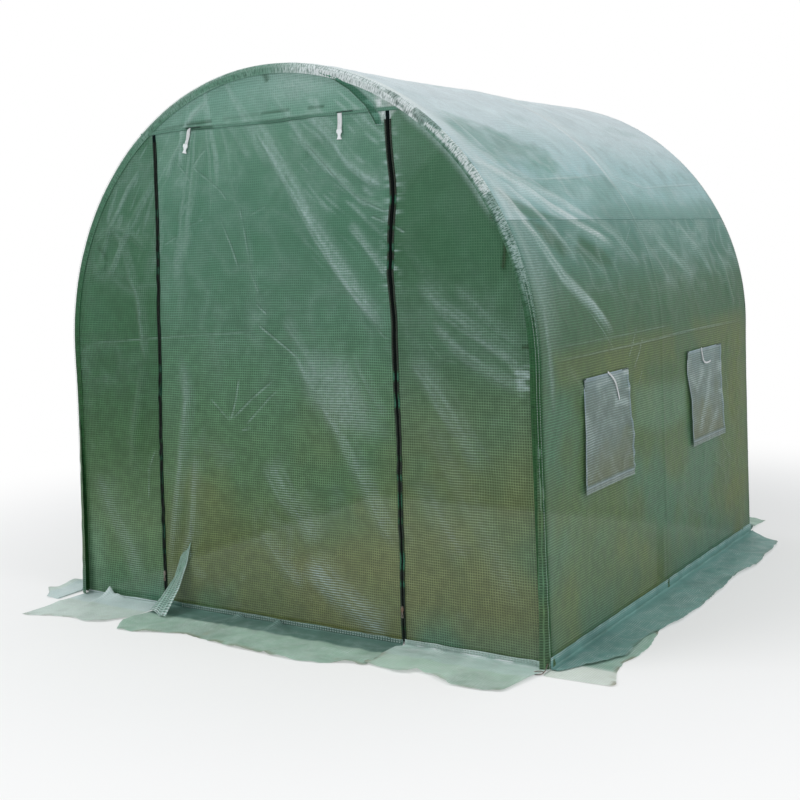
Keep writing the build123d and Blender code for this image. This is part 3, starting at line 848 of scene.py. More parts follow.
def cover_out(s, y, seed, folds):
    """How far the film stands out from its stretched face."""
    free = clear_of_frame(s, y)
    out = -sag(s, y) + 0.0012 * bump(y, 0, 0.010)
    for points, width, height, _ in folds:
        out += height * fold(s, y, points, width) * (0.25 + 0.75 * free)
    out += free * 0.0035 * layers(s, y, 0.35, seed)
    out += free * 0.0022 * ridges(s, y * 0.6, 0.16, seed + 9)
    out += free * 0.0011 * ridges(s * 0.7, y, 0.06, seed + 20)
    over = smooth(np.abs(y), HOOP - 0.03, HOOP)
    pucker = np.sin(s / 0.021 + 3 * noise(s / 0.08, y * 0, seed + 4))
    return out * (1 - 0.8 * over) + 0.0007 * over * pucker


def side_tint(s, y, seed, folds):
    """Colour of a wall and the roof above it, up to the hip, with painted sheen and painted shade."""
    colour = ramp(s, WALL_TONES)
    cloud = layers(s, y, 0.42, seed + 31)
    # Olive towards the ground: the ground seen through the film, painted.
    low = 1 - smooth(s, 0.75, 1.15)
    colour = blend(colour, srgb(104, 112, 76), 0.75 * low * smooth(cloud, -0.05, 0.40))
    colour = blend(colour, srgb(82, 118, 104), 0.65 * low * smooth(-cloud, 0.05, 0.55))
    warm = patch(
        s, y, [(0.97, -0.92), (0.98, 0.1), (0.99, 0.95), (0.80, 0.9), (0.86, 0.0), (0.86, -0.9)], 0.04,
    )
    colour = blend(
        colour, srgb(98, 108, 72), 0.55 * warm * smooth(layers(s, y, 0.25, seed + 35), -0.3, 0.3),
    )
    cool = patch(s, y, [(0.80, -0.27), (0.76, 0.25), (0.63, 0.25), (0.60, 0.0), (0.66, -0.27)], 0.035)
    colour = blend(colour, srgb(104, 136, 118), 0.50 * cool)
    for corners in (
        [(26.5, -0.85), (24, -0.71), (20.3, -0.65), (19, -0.71), (22.5, -0.81)],
        [(23.2, -0.53), (19.9, -0.37), (16.7, -0.33), (16.7, -0.50), (20.3, -0.61)],
    ):
        shaded = patch(s, y, on_roof(corners), 0.018)
        colour = blend(colour, srgb(62, 98, 82), 0.90 * shaded * (1 - smooth(y, -0.2, 0)))
    foot = (1 - smooth(s, 0.03, 0.22)) * smooth(layers(s, y, 0.3, seed + 33), -0.5, 0.3)
    colour = blend(colour, srgb(80, 116, 106), 0.6 * foot)
    # Painted highlights on the folds and crinkles, in broad patches and by the front hoop.
    shine = fold_shine(s, y, folds, 1.15, 830)
    colour = blend(colour, srgb(176, 202, 200), 0.70 * shine * smooth(s, up(2), up(20)))
    crinkles = ridges(s, y, 0.12, seed + 40) * smooth(s, up(4), up(20))
    shine = np.maximum(shine, (0.30 + 0.14 * smooth(y, 0.2, 0.6)) * crinkles)
    sheen_patches = patch(s, y, on_roof([(27, 0.02), (27, 0.80), (9, 0.58), (12, 0.05)]), 0.05)
    sheen_patches *= smooth(layers(s, y, 0.14, seed + 44), -0.35, 0.5)
    shine = np.maximum(shine, 0.40 * sheen_patches)
    near_hoop = bump(y, -0.93, 0.075) * smooth(s, up(-4), up(16))
    shine = np.maximum(shine, 0.38 * near_hoop)
    # Painted shadows of the middle hoop and the end hoops behind the film.
    dark = bump(y, 0, 0.013) * (1 - smooth(s, 0.75, 0.90)) * 0.18
    dark += 0.35 * bump(np.abs(y), HOOP, 0.010) * (1 - smooth(s, 0.9, 1.2))
    return with_shine(blend(colour, srgb(48, 82, 62), dark), shine)


def roof_tint(s, y, side, folds):
    """Colour of the roof above the hips: pale with painted sky sheen, and painted shade where it is slack.
    """
    seed = 300 + side
    wave = 0.05 * layers(s, y, 0.5, seed)
    colour = ramp(s + wave, ROOF_TONES)
    # Painted shade between the two hip creases.
    lower = [(39, -0.98), (36, -0.54), (38, 0.0), (35, 0.31), (37, 1.0), (27, 1.0), (27, -1.0)]
    between = patch(s, y, on_roof(lower), 0.012)
    mottled = smooth(layers(s, y, 0.28, seed + 6), -0.2, 0.5)
    colour = blend(colour, srgb(118, 154, 150), 0.55 * between * mottled)
    slack = [
        (53, -0.91), (51.5, -0.68), (48, -0.50), (45.5, -0.40), (42.5, -0.36), (38.8, -0.38), (36.6, -0.46),
        (36.6, -0.62), (39.5, -0.65), (38.5, -0.79), (40.5, -0.89), (44.6, -0.94), (51, -0.95),
    ]
    uneven = 0.022 * layers(s, y, 0.12, seed + 7)
    ragged = uneven + 0.030 * noise(s / 0.035, y / 0.09, seed + 9)
    shadowed = patch(s + ragged, y + 1.5 * uneven, on_roof(slack), 0.042)
    shadowed *= 0.55 + 0.45 * smooth(layers(s, y * 0.5, 0.05, seed + 8), -0.5, 0.3)
    colour = blend(colour, srgb(106, 150, 143), 0.70 * shadowed * (1 if side > 0 else 0.6))
    # Painted shade below the hip crease.
    below = [
        (37, -0.92), (36, -0.77), (36, -0.54), (37, -0.25), (37.5, -0.02), (33, 0.02), (31, -0.20),
        (31, -0.50), (33, -0.75),
    ]
    below = patch(s + uneven, y, on_roof(below), 0.026)
    colour = blend(colour, srgb(122, 160, 156), 0.55 * below)
    # Painted shade in a wedge between pale folds.
    wedge = [(33.5, -0.99), (31.0, -0.90), (28.2, -0.74), (26.4, -0.60), (26.4, -0.84), (29, -0.93)]
    wedge = patch(s, y, on_roof(wedge), 0.014)
    colour = blend(colour, srgb(80, 120, 107), 0.88 * wedge)
    # Darker mottling, and patches of painted sheen, strongest low on the roof.
    mottle_and_sheen = layers(s, y, 0.045, seed + 16)
    rough = 0.45 + 0.55 * (1 - smooth(s, up(42), up(60)))
    colour = blend(colour, 0.78 * colour, 0.60 * rough * smooth(mottle_and_sheen, 0.05, 0.55))
    colour = blend(colour, SHEEN, 0.26 * rough * smooth(-mottle_and_sheen, 0.10, 0.60))
    # Bands of painted sheen along the ridge, with darker teal between them.
    sheen_bands = layers(s, y * 0.35, 0.10, seed + 12)
    colour = blend(colour, SHEEN, 0.22 * smooth(sheen_bands, 0.1, 0.7))
    colour = blend(colour, srgb(140, 172, 172), 0.25 * smooth(-sheen_bands, 0.15, 0.8))
    # Painted shade of slack film near the front, just above the hip.
    slack = smooth(y + 0.06 * layers(s, y, 0.2, seed + 14), -0.52, -0.22)
    slack = slack * (1 - smooth(s, HIP_S, HIP_S + 0.11))
    colour = blend(colour, srgb(106, 143, 138), 0.75 * slack)
    if side < 0:
        colour = blend(colour, srgb(116, 154, 151), 0.65 * (1 - smooth(s, HIP_S, HIP_S + 0.20)))
    # Painted highlight along the middle hoop, where the film rides over it.
    hoop_line = bump(y, -0.004, 0.010) + 0.35 * bump(y, 0.05, 0.05)
    colour = blend(colour, srgb(226, 233, 237), 0.75 * np.clip(hoop_line, 0, 1) * smooth(s, up(30), up(44)))
    # Painted highlights on the folds.
    shine = fold_shine(s, y, folds, 1.1, 860)
    colour = blend(colour, srgb(204, 221, 225), np.clip(0.85 * shine, 0, 0.85))
    # Painted highlight along the front edge, where the film turns over the hoop.
    rim = smooth(-y, 0.955, 0.985) * smooth(s, up(44), up(60))
    colour = blend(colour, srgb(230, 236, 238), 0.85 * rim)
    # Painted sheen near the front hoop.
    ends = bump(y, -0.95, 0.05) * (1 - smooth(s, up(46), up(60)))
    shine = np.maximum(shine, 0.45 * ends)
    return with_shine(colour, shine)


along_cover = steps(0.0082, -LAP, -HOOP, -1 / 3, 0, 1 / 3, HOOP, LAP)


def window_marks():
    """The edges of the window openings, up the wall and along it."""
    low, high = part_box("right_window_screens")
    width = high[2] - low[2]
    edges = sorted({low[1], low[1] + width, high[1] - width, high[1]})
    return low[2], high[2], edges


hole_low, hole_high, hole_edges = window_marks()
along_walls = steps(0.0085, -LAP, -HOOP, *hole_edges[:2], 0, *hole_edges[2:], HOOP, LAP)
up_walls = steps(0.0085, HEM_HEIGHT, 0.03, hole_low, hole_high, EAVE, HIP_S + 0.004)


LEAN = {-1: 0.034, 1: 0.018}                 # how far each wall's foot stands out from upright
LEAN_START = 0.86                            # height below which a wall leans


def flare(s, side):
    """The slack film leans out towards the ground, most on the left."""
    return LEAN[side] * np.clip(1 - s / LEAN_START, 0, 1) ** 1.2


def side_film(side, label):
    """A wall and the lower roof above it, as one sheet with two window openings."""
    s, y = lattice(up_walls, along_walls)
    folds = roof_lines(ROOF_FOLDS)
    if side < 0:
        folds = [(line, width, height, 0.5 * pale) for line, width, height, pale in folds]
    seed = 100 + 17 * side
    ahead = y * side                         # the left side repeats the right one turned round
    points = cover_points(s, y, cover_out(s, ahead, seed, folds) + flare(s, side), side)
    mid_s = (s[:-1, :-1] + s[1:, 1:]) / 2
    mid_y = (y[:-1, :-1] + y[1:, 1:]) / 2
    skip = np.zeros(mid_s.shape, bool)
    for low, high in (hole_edges[:2], hole_edges[2:]):
        skip |= (mid_s > hole_low) & (mid_s < hole_high) & (mid_y > low) & (mid_y < high)
    uv = np.stack([y, s], -1)
    lines = creases(s, ahead, roof_lines(ROOF_CREASES) + WALL_CREASES)
    tint = side_tint(s, ahead, seed, folds)
    if side < 0:
        shade = 0.65 * smooth(s, HIP_S - 0.20, HIP_S)
        tint[..., :3] = blend(tint[..., :3], srgb(112, 150, 146), shade)
    piece = new_grid(f"{label}_side_film", points, uv, tint, film, lines, skip, side > 0)
    cut = 2 * (hole_high - hole_low) ** 2
    size = (along_walls[-1] - along_walls[0], up_walls[-1] - up_walls[0])
    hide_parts(f"{label}_wall_sheet", f"{label}_lower_roof")
    size[0] * size[1] - cut


def roof_film():
    """The sheet over the ridge, lapping over both side films at the hips."""
    half = steps(0.0085, HIP_S - 0.008, HALF)
    s = np.concatenate([half, (2 * HALF - half[::-1])[1:]])
    s, y = lattice(s, along_cover)
    left = s > HALF
    t = np.where(left, 2 * HALF - s, s)
    right_folds = roof_lines(ROOF_FOLDS)
    out = np.where(left, cover_out(t, -y, 51, right_folds), cover_out(t, y, 50, right_folds))
    out = out + 0.0009 * (1 - smooth(t, HIP_S, HIP_S + 0.03)) + 0.0004
    points = np.where(left[..., None], cover_points(t, y, out, -1), cover_points(t, y, out, 1))
    tint = np.where(left[..., None], roof_tint(t, -y, -1, right_folds), roof_tint(t, y, 1, right_folds))
    lines = creases(t, y, roof_lines(ROOF_CREASES))
    uv = np.stack([y, s], -1)
    piece = new_grid("roof_film", points, uv, tint, film, lines, turned=True)
    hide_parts("left_upper_roof", "right_upper_roof")


# ---- Front and back -----------------------------------------------------------------------------
def zip_x(side, z):
    """Where a zip runs across the front: it leans as its tape does and wavers with the film."""
    foot, head = zip_ends[side]
    t = (z - ZIP_LOW) / (ZIP_HIGH - ZIP_LOW)
    line = foot + (head - foot) * t
    if side > 0:
        line = line + 0.012 * bump(z, 1.50, 0.09)
        line = line - 0.010 * bump(z, 1.24, 0.14)
    else:
        line = line - 0.009 * bump(z, 0.55, 0.30)
        line = line + 0.006 * bump(z, 1.45, 0.20)
    return line + 0.0018 * noise(z / 0.11, z * 0, 60 + side)


def edge_x(z):
    """Half the width of the front at a height, to where the film turns round the hoop."""
    r = RADIUS - WRAP + 0.001
    return np.where(z < EAVE, r, np.sqrt(np.clip(r * r - (np.maximum(z, EAVE) - EAVE) ** 2, 0, None)))


def from_centre(x, z):
    """The distance from the arches' centre, or below the eave from the middle line."""
    return np.where(z < EAVE, np.abs(x), np.hypot(x, z - EAVE))


def from_zips(x, z):
    """The distance to the nearer zip's middle."""
    return np.minimum(np.abs(x - zip_x(-1, z)), np.abs(x - zip_x(1, z)))


def front_free(x, z):
    """0 over the front hoop and the ground rail, and 1 away from them."""
    return smooth(RADIUS - WRAP - from_centre(x, z), 0.014, 0.10) * smooth(z, 0.03, 0.10)


def front_out(x, z):
    """How far the front's film stands out: slack folds from the top, and creases."""
    free = front_free(x, z)
    out = 0.004 * layers(x, z, 0.45, 70)
    for points, width, height, _ in FRONT_FOLDS:
        out += height * fold(x, z, points, width)
    out += 0.0022 * ridges(x, z * 0.7, 0.20, 74)
    out += 0.0010 * ridges(x, z, 0.07, 79)
    beside = from_zips(x, z)
    out = out * (0.35 + 0.65 * smooth(beside, 0.0, 0.05))
    puckers = np.sin(z / 0.017 + 2.5 * noise(z / 0.07, x * 0, 88)) * bump(beside, 0, 0.022)
    out += 0.0016 * puckers * smooth(noise(z / 0.16, x * 0, 90), -0.1, 0.5)
    sunk = 0.006 * bump(x, 0.05, 0.45) * smooth(z, 0.1, 0.9)
    return free * (out - sunk)


def front_tint(x, z, tones, seed=110, zipped=1.0):
    """Colour of the front's film, with painted sheen and painted shade, and the gathers beside its zips
    where it is zipped.
    """
    colour = ramp(z, tones)
    low = 1 - smooth(z, 0.45, 1.0)
    cloud = layers(x, z, 0.38, seed)
    # Olive towards the ground: dirt, and the ground seen through the film, painted.
    colour = blend(colour, EARTH, 0.42 * low * smooth(cloud + 0.5 * smooth(x, -0.2, 0.5), 0.15, 0.8))
    colour = blend(colour, srgb(78, 114, 98), 0.45 * smooth(-cloud, 0.1, 0.7))
    # Painted highlights on the folds, in a fan from the top, a broad patch, strokes and the crown.
    shine = fold_shine(x, z, FRONT_FOLDS, 1.15, 800)
    turn = np.arctan2(x + 0.27, 2.07 - z) + 0.06 * layers(x, z, 0.30, 905)
    reach = np.hypot(x + 0.27, z - 2.07)
    fan = 0.6 * noise(turn * 15, reach * 2.6, 901) + 0.4 * noise(turn * 38, reach * 5, 903)
    spread = smooth(z, 0.95, 1.40) * (1 - smooth(np.abs(x), 0.5, 0.75))
    shine = np.maximum(shine, 0.34 * smooth(fan, 0.12, 0.85) * spread)
    broad_sheen = [
        (-0.10, 1.20), (0.10, 1.12), (0.30, 0.92), (0.42, 0.70), (0.25, 0.70), (0.05, 0.90), (-0.12, 1.04),
    ]
    broad_sheen = patch(x, z, broad_sheen, 0.06) * smooth(layers(x, z, 0.15, 911), -0.5, 0.5)
    shine = np.maximum(shine, 0.46 * broad_sheen)
    upper = smooth(z, 1.18, 1.45)
    stroke_sheen = 0.55 * strokes(x, z, 61, 921) * (1 - smooth(x, -0.42, -0.12))
    stroke_sheen = np.maximum(stroke_sheen, strokes(x, z, -40, 925) * smooth(x, 0.02, 0.22) * (x < zip_x(1, z)))
    shine = np.maximum(shine, 0.46 * upper * stroke_sheen)
    crown = bump(x, 0.16, 0.16) * smooth(z, 1.76, 1.86)
    shine = np.maximum(shine, 0.38 * crown)
    # Painted highlights on the puckers beside the right zip.
    right_side = x - zip_x(1, z)
    ribbed = smooth(noise(z / 0.0075, x / 0.04, 907), 0.0, 0.5) * bump(right_side, 0, 0.028)
    shine = np.maximum(shine, 0.95 * zipped * ribbed * smooth(z, 1.10, 1.22) * (1 - smooth(z, 1.66, 1.74)))
    gathers = [
        (0.452, 1.722), (0.446, 1.772), (0.425, 1.825), (0.520, 1.800), (0.560, 1.760), (0.520, 1.752),
        (0.482, 1.712),
    ]
    sewn = patch(x, z, gathers, 0.010) * (0.45 + 0.55 * smooth(noise(x / 0.009, z / 0.012, 119), -0.2, 0.5))
    colour = blend(colour, srgb(214, 220, 224), 0.92 * zipped * sewn)
    corner_glint = patch(x, z, [(0.90, 0.94), (0.99, 0.95), (0.99, 0.85), (0.93, 0.86)], 0.016)
    shine = np.maximum(
        shine, 0.80 * zipped * corner_glint * smooth(noise(z / 0.012, x / 0.03, 915), -0.5, 0.3),
    )
    foot = (1 - smooth(z, 0.02, 0.17)) * (0.55 + 0.45 * smooth(layers(x, z, 0.2, 917), -0.3, 0.4))
    colour = blend(
        colour, srgb(78, 116, 104),
        0.75 * foot * np.maximum(smooth(x, 0.46, 0.56), 1 - smooth(x, -0.62, -0.52)),
    )
    # Paler at the lower left edge: painted light over the shade where the film bends away from the hoop.
    colour = blend(
        colour, srgb(110, 138, 118), 0.8 * (1 - smooth(x, -0.93, -0.84)) * (1 - smooth(z, 0.15, 0.4)),
    )
    # Painted sheen on crinkles, weaker beside the right zip.
    calm = 1 - 0.75 * smooth(x, 0.50, 0.56) * smooth(z, 1.10, 1.22)
    shine = np.maximum(shine, 0.14 * calm * ridges(x, z, 0.22, seed + 3) * smooth(z, 0.5, 1.3))
    shine = np.maximum(shine, 0.16 * calm * smooth(layers(x, z, 0.12, seed + 6), 0.25, 0.8))
    # Painted highlight along the seam band's inner edge, and painted shade just inside the band.
    r = from_centre(x, z)
    rim = bump(np.clip(RADIUS - BAND - r, 0, None), 0, 0.014)
    rim = rim * smooth(x, 0.50, 0.58) * smooth(z, 1.36, 1.46)
    shine = np.maximum(shine, 0.60 * rim)
    dark = 0.16 * bump(r, RADIUS - 0.045, 0.012) * (1 - rim)
    # Painted shade beside the zips.
    beside = from_zips(x, z)
    dark = np.maximum(dark, 0.35 * zipped * bump(beside, 0, 0.012) * (z < ZIP_HIGH + 0.02))
    for points, width, depth in FRONT_MARKS:
        mark = fold(x, z, points, 1.35 * width, 0.06)
        dark = np.maximum(dark, 1.1 * depth * mark)
        shine = shine * (1 - 0.8 * depth * mark)
    return with_shine(blend(colour, srgb(28, 58, 46), np.clip(dark, 0, 0.95)), shine)


def lean_out(x, z):
    """The shift of the side films near the ground, on the side that x is on."""
    return np.where(x < 0, -flare(z, -1), flare(z, 1))


def splay(x, z):
    """The front follows the side films, which lean out towards the ground."""
    return x + lean_out(x, z) * smooth(np.abs(x), 0.62, 0.985)


def front_sheet(name, x, z, tones, replaced, face=-1, tint=None, flat=None):
    """One sheet of the front or back, from its places across and up."""
    out = front_out(x, z) if face < 0 else front_out(-x, z) * 0.7
    y = face * (FACE + out)
    points = np.stack([splay(x, z), y, z], -1)
    colour = front_tint(x, z, tones) if tint is None else tint
    uv = np.stack([x, z], -1)
    lines = creases(x, z, FRONT_CREASES) if face < 0 else creases(-x, z, FRONT_CREASES[:14])
    piece = new_grid(name, points, uv, colour, film, lines, turned=face > 0)
    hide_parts(replaced)
    width, height = x.max() - x.min(), z.max() - z.min()
    spans = np.abs(x[:, -1] - x[:, 0])
    area = float(np.sum((spans[1:] + spans[:-1]) / 2 * np.abs(np.diff(z[:, 0]))))
    if flat is not None:
        width, height, area = flat
    min(area, width * height)


def seam_gap(side, z):
    """From a zip's middle to the edge of the film beside it: the right one gapes at its top."""
    return 0.0045 + 0 * z if side < 0 else 0.0068 + 0.0040 * smooth(z, 0.2, 1.5)


def door_film():
    """The door: one slack sheet between the zips."""
    z = steps(0.0062, HEM_HEIGHT, DOOR_TOP + 0.006)
    t = shares(0.0062, 1.04)
    z, t = lattice(z, t)
    low, high = zip_x(-1, z) + seam_gap(-1, z), zip_x(1, z) - seam_gap(1, z)
    front_sheet("door_film", low + (high - low) * t, z, DOOR_TONES, "door_panel")


def beside_film(side, label, tones):
    """The film between a zip and the front hoop."""
    corner = EAVE + math.sqrt(edge_x(np.array(0.0)) ** 2 - zip_ends[side][1] ** 2)
    z = steps(0.0066, HEM_HEIGHT, corner - 0.003)
    t = shares(0.0066, 0.48)
    z, t = lattice(z, t)
    inner = np.abs(zip_x(side, np.minimum(z, ZIP_HIGH))) + seam_gap(side, z) * (z < DOOR_TOP)
    inner = np.minimum(inner, edge_x(z) - 0.001)
    x = inner + (edge_x(z) - inner) * t
    if side < 0:
        x = -x[:, ::-1]
    front_sheet(f"front_{label}_film", x, z, tones, f"front_{label}_panel")


def top_film():
    """The film above the door, up to the arch."""
    x = steps(0.0066, zip_ends[-1][1], zip_ends[1][1])
    t = shares(0.0066, 0.19)
    t, x = lattice(t, x)
    r = RADIUS - WRAP + 0.001
    high = EAVE + np.sqrt(r * r - x * x)
    z = DOOR_TOP + (high - DOOR_TOP) * t
    width, height = x.max() - x.min(), float(z.max() - DOOR_TOP)
    area = float(np.trapz(high[0] - DOOR_TOP, x[0]))
    tint = front_tint(x, z, TOP_TONES, 140)
    front_sheet(
        "front_top_film", x, z, TOP_TONES, "front_top_panel", tint=tint, flat=(width, height, area),
    )


def back_film():
    """The back: one sheet, slack between the hoop and the ground."""
    z = steps(0.0125, HEM_HEIGHT, TOP - WRAP - 0.002)
    t = steps(0.0125, -0.97, 0.97) / 0.97
    z, t = lattice(z, t)
    x = edge_x(z) * t
    tint = front_tint(-x, z, DOOR_TONES, 170, 0.0)
    front_sheet("back_film", x, z, DOOR_TONES, "back_panel", 1, tint)


def corner_facing():
    """The doubled hem that shows from the arch down to the right zip's head."""
    inner = [(0.205, 1.894), (0.281, 1.861), (0.334, 1.827), (0.396, 1.771), (0.420, 1.735), (0.438, 1.704)]
    outer = [(0.210, 1.898), (0.319, 1.862), (0.381, 1.822), (0.434, 1.773), (0.456, 1.735), (0.466, 1.703)]
    across, run, over = ruled(inner, outer, 70, 13)
    x, z = across[..., 0], across[..., 1]
    lift = 0.0014 + 0.0022 * np.sin(math.pi * over) * (0.5 + 0.5 * noise(run * 9, over * 2, 131))
    points = front_face(x, z, lift)
    patchy = smooth(noise(run * 14, over * 2.5, 133), -0.1, 0.6)
    tone = blend(srgb(62, 102, 90), srgb(92, 134, 122), patchy)
    tone = blend(tone, srgb(38, 72, 62), 0.8 * bump(over, 0.16, 0.10))
    # Painted highlights along the hem's edges and its lower end.
    shine = 0.75 * bump(over, 0, 0.06) + 0.5 * smooth(over, 0.85, 1.0) + 0.6 * smooth(run, 0.97, 1.0)
    uv = np.stack([x, z], -1)
    piece = new_grid("front_corner_facing", points, uv, with_shine(tone, shine), film)


def profile_line(r, step=0.006):
    """A line round the front at a distance from the arches' centre: up one side, over and down."""
    legs = steps(step, 0.006, EAVE)
    angles = np.linspace(0, math.pi, round(math.pi * r / step))[1:-1]
    right = [(r, z, 1.0, 0.0) for z in legs]
    arch = [(r * math.cos(a), EAVE + r * math.sin(a), math.cos(a), math.sin(a)) for a in angles]
    left = [(-r, z, -1.0, 0.0) for z in legs[::-1]]
    return np.array(right + arch + left)


def seam_band(name, face, replaced):
    """The doubled film sewn round the front or back: crinkled where it was gathered over the arch."""
    line = profile_line(RADIUS - BAND, 0.0035)
    run = np.arange(len(line)) * 0.0035
    flat_steps = np.linspace(0, BAND - WRAP, 7)
    turn = np.linspace(0, 1.15, 6)[1:]
    s, w = lattice(run, np.arange(len(flat_steps) + len(turn)))
    reach = np.concatenate([flat_steps, BAND - WRAP + WRAP * np.sin(turn)])
    back = np.concatenate([np.zeros(len(flat_steps)), WRAP * (1 - np.cos(turn))])
    x0, z0, nx, nz = (line[:, k][:, None] for k in range(4))
    right = smooth(x0, 0.1, 0.55) * smooth(z0, 1.15, 1.45)
    gathered = np.clip(0.25 + 0.75 * right + 0.3 * smooth(z0, 1.75, 1.9), 0, 1)
    pleats = ridges(s, w * 0.002, 0.020, 200) + 0.6 * ridges(s, w * 0.003, 0.010, 207)
    lift = 0.0012 + gathered * (0.0045 * pleats) * np.sin(math.pi * (w + 0.8) / (w.max() + 1.6))
    lift += 0.0006 * noise(s / 0.05, w / 3, 211)
    r_out = RADIUS - BAND + reach[None] + lift * (back[None] / WRAP)
    y = face * (END + 0.0002 + lift * (1 - 0.7 * back[None] / WRAP) - back[None])
    x = nx * (r_out - (RADIUS - BAND)) + x0 + lean_out(x0, z0)
    z = nz * (r_out - (RADIUS - BAND)) + z0
    points = np.stack([x, np.broadcast_to(y, x.shape), z], -1)
    tone = ramp(z, BAND_TONES)
    # The band's crown, shoulder and flank turn pale: painted sky sheen, and light is the painted sheen's
    # strength.
    crown = smooth(x0, -0.05, 0.28) * smooth(z0, 1.66, 1.74)
    shoulder = smooth(x0, 0.35, 0.5) * smooth(z0, 1.36, 1.48)
    flank = smooth(x0, 0.5, 0.6) * smooth(z0, 1.06, 1.34)
    inner = smooth(w, 1.5, 5.0)
    outer = smooth(w, 7.5, 9.5)
    light = np.maximum(
        crown * (0.80 + 0.20 * noise(s / 0.05, w / 4, 219)), shoulder * (0.16 + 0.84 * inner),
    )
    light = np.maximum(light, 0.60 * flank * (0.15 + 0.85 * inner))
    light = np.maximum(light, 0.13 * smooth(z, 1.2, 1.5) * smooth(noise(s / 0.09, w / 5, 224), -0.2, 0.6))
    light = np.maximum(light, 0.24 * outer * smooth(z, 0.9, 1.2))
    tone = blend(tone, srgb(150, 178, 174), 0.75 * np.maximum(crown, shoulder * inner))
    tone = blend(
        tone, srgb(206, 214, 217), 0.70 * crown * smooth(x0, -0.05, 0.30) * (1 - smooth(x0, 0.60, 0.70)),
    )
    tone = blend(tone, srgb(104, 142, 134), 0.6 * flank * (1 - shoulder) * inner)
    knots = smooth(noise(s / 0.030, w / 4, 226), 0.30, 0.60) * np.maximum(shoulder, 0.7 * flank)
    tone = blend(tone, srgb(44, 76, 68), 0.55 * knots)
    tone = with_shine(tone, light * (1 - 0.7 * knots))
    uv = np.stack([s, reach[None] + back[None] + 0 * s], -1)
    piece = new_grid(name, points, uv, tone, seam_film, turned=face > 0)
    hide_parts(replaced)


def band_stitches():
    """Two rows of stitching down each seam band."""
    rows = []
    for face in (-1, 1):
        for inset in (0.023, 0.0315):
            line = profile_line(RADIUS - BAND + inset)
            x = line[:, 0] + lean_out(line[:, 0], line[:, 1])
            drop = max(0.0, inset - (BAND - WRAP))
            y = np.full(len(line), face * (END + 0.0036 - 0.3 * drop))
            rows.append((np.stack([x, y, line[:, 1]], -1), (0, face, 0)))
    stitches("band_stitches", rows, pale_thread)


# ---- Zips ---------------------------------------------------------------------------------------
def front_face(x, z, proud=0.0):
    """A point on the front's film."""
    return np.stack([x, -(FACE + front_out(x, z) + proud), z], -1)


def zip_pieces(side, label):
    """A zip: tape behind, coil between, and the film's piped edges on both sides."""
    z = steps(0.004, 0.014, ZIP_HIGH)
    x = zip_x(side, z)
    middle = front_face(x, z)
    half = 0.0098 if side < 0 else 0.0108
    tape_profile = [
        (-half, -0.0006), (-0.008, 0.0006), (-0.004, 0.0004), (0.004, 0.0004), (0.008, 0.0006),
        (half, -0.0006),
    ]
    tape = swept(f"{label}_zip_tape", middle, ACROSS, FORWARDS, tape_profile, zip_tape)
    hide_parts(f"{label}_zip")

    points, direction = resample(middle[z > ZIP_LOW], 0.0026)
    side_step = np.where(np.arange(len(points)) % 2 == 0, -1, 1)[:, None] * np.array((0.0008, 0, 0))
    teeth = points + side_step + np.array(FORWARDS) * 0.0016
    size = (0.0072, 0.0016, 0.0022)
    blocks(f"{label}_zip_coil", teeth, ACROSS, direction, FORWARDS, size, zip_coil, "zip")

    for edge in (-1, 1):
        gap = seam_gap(side, z) + 0.0008 * noise(z / 0.06, z * 0, 33 + edge + side)
        half = 0.0014 if side < 0 else 0.0036
        round_edge = [(half * math.cos(a), 0.0020 * math.sin(a)) for a in np.linspace(0, math.pi, 7)]
        line = front_face(x + edge * (gap - 0.3 * half), z, 0.0002)
        line[:, 1] -= 0.0010 * np.abs(noise(z / 0.03, z * 0, 37 + edge))
        patchy = smooth(noise(z / 0.03, z * 0, 5), 0.1, 0.8)
        tint = blend(srgb(22, 52, 42), srgb(58, 96, 84), patchy)
        name = f"{label}_zip_piping_{'inner' if edge * side < 0 else 'outer'}"
        swept(name, line, ACROSS, FORWARDS, round_edge[::-1], film, tint[:, None])


def zip_stop(side, label):
    """The sewn end of a zip's tape, above the teeth."""
    z = steps(0.004, ZIP_HIGH - 0.002, DOOR_TOP)
    path = front_face(zip_x(side, z), z)
    profile = [(-0.0075, 0.0004), (-0.004, 0.0014), (0.004, 0.0014), (0.0075, 0.0004)]
    swept(f"{label}_zip_head", path, ACROSS, FORWARDS, profile, zip_tape)


def door_seam():
    """The lapped seam over the door, with its stitches."""
    x = steps(0.006, zip_ends[-1][1] - 0.06, zip_ends[1][1] + 0.05)
    z = DOOR_TOP + 0.004 * noise(x / 0.2, x * 0, 91) + 0.002
    profile = [(-0.0062, 0.0002), (-0.0058, 0.0015), (0.0, 0.0018), (0.0058, 0.0015), (0.0062, 0.0002)]
    tint = blend(
        ramp(z, TOP_TONES), srgb(128, 164, 154), 0.18 * smooth(noise(x / 0.10, x * 0, 94), -0.1, 0.5),
    )
    shadow = smooth(x, -0.37, -0.35) * (1 - smooth(x, -0.25, -0.23))
    shadow = np.maximum(shadow, 0.6 * smooth(x, -0.05, 0.0) * (1 - smooth(x, 0.14, 0.24)))
    tint = blend(tint, srgb(30, 64, 52), 0.6 * shadow)
    path = front_face(x, z)
    swept("door_top_seam", path, (0.0, 0.0, 1.0), FORWARDS, profile, film, tint[:, None])
    rows = [(front_face(x, z + dz, 0.0016), (0, -1, 0)) for dz in (-0.0036, 0.0036)]
    stitches("door_seam_stitches", rows, seam_thread)


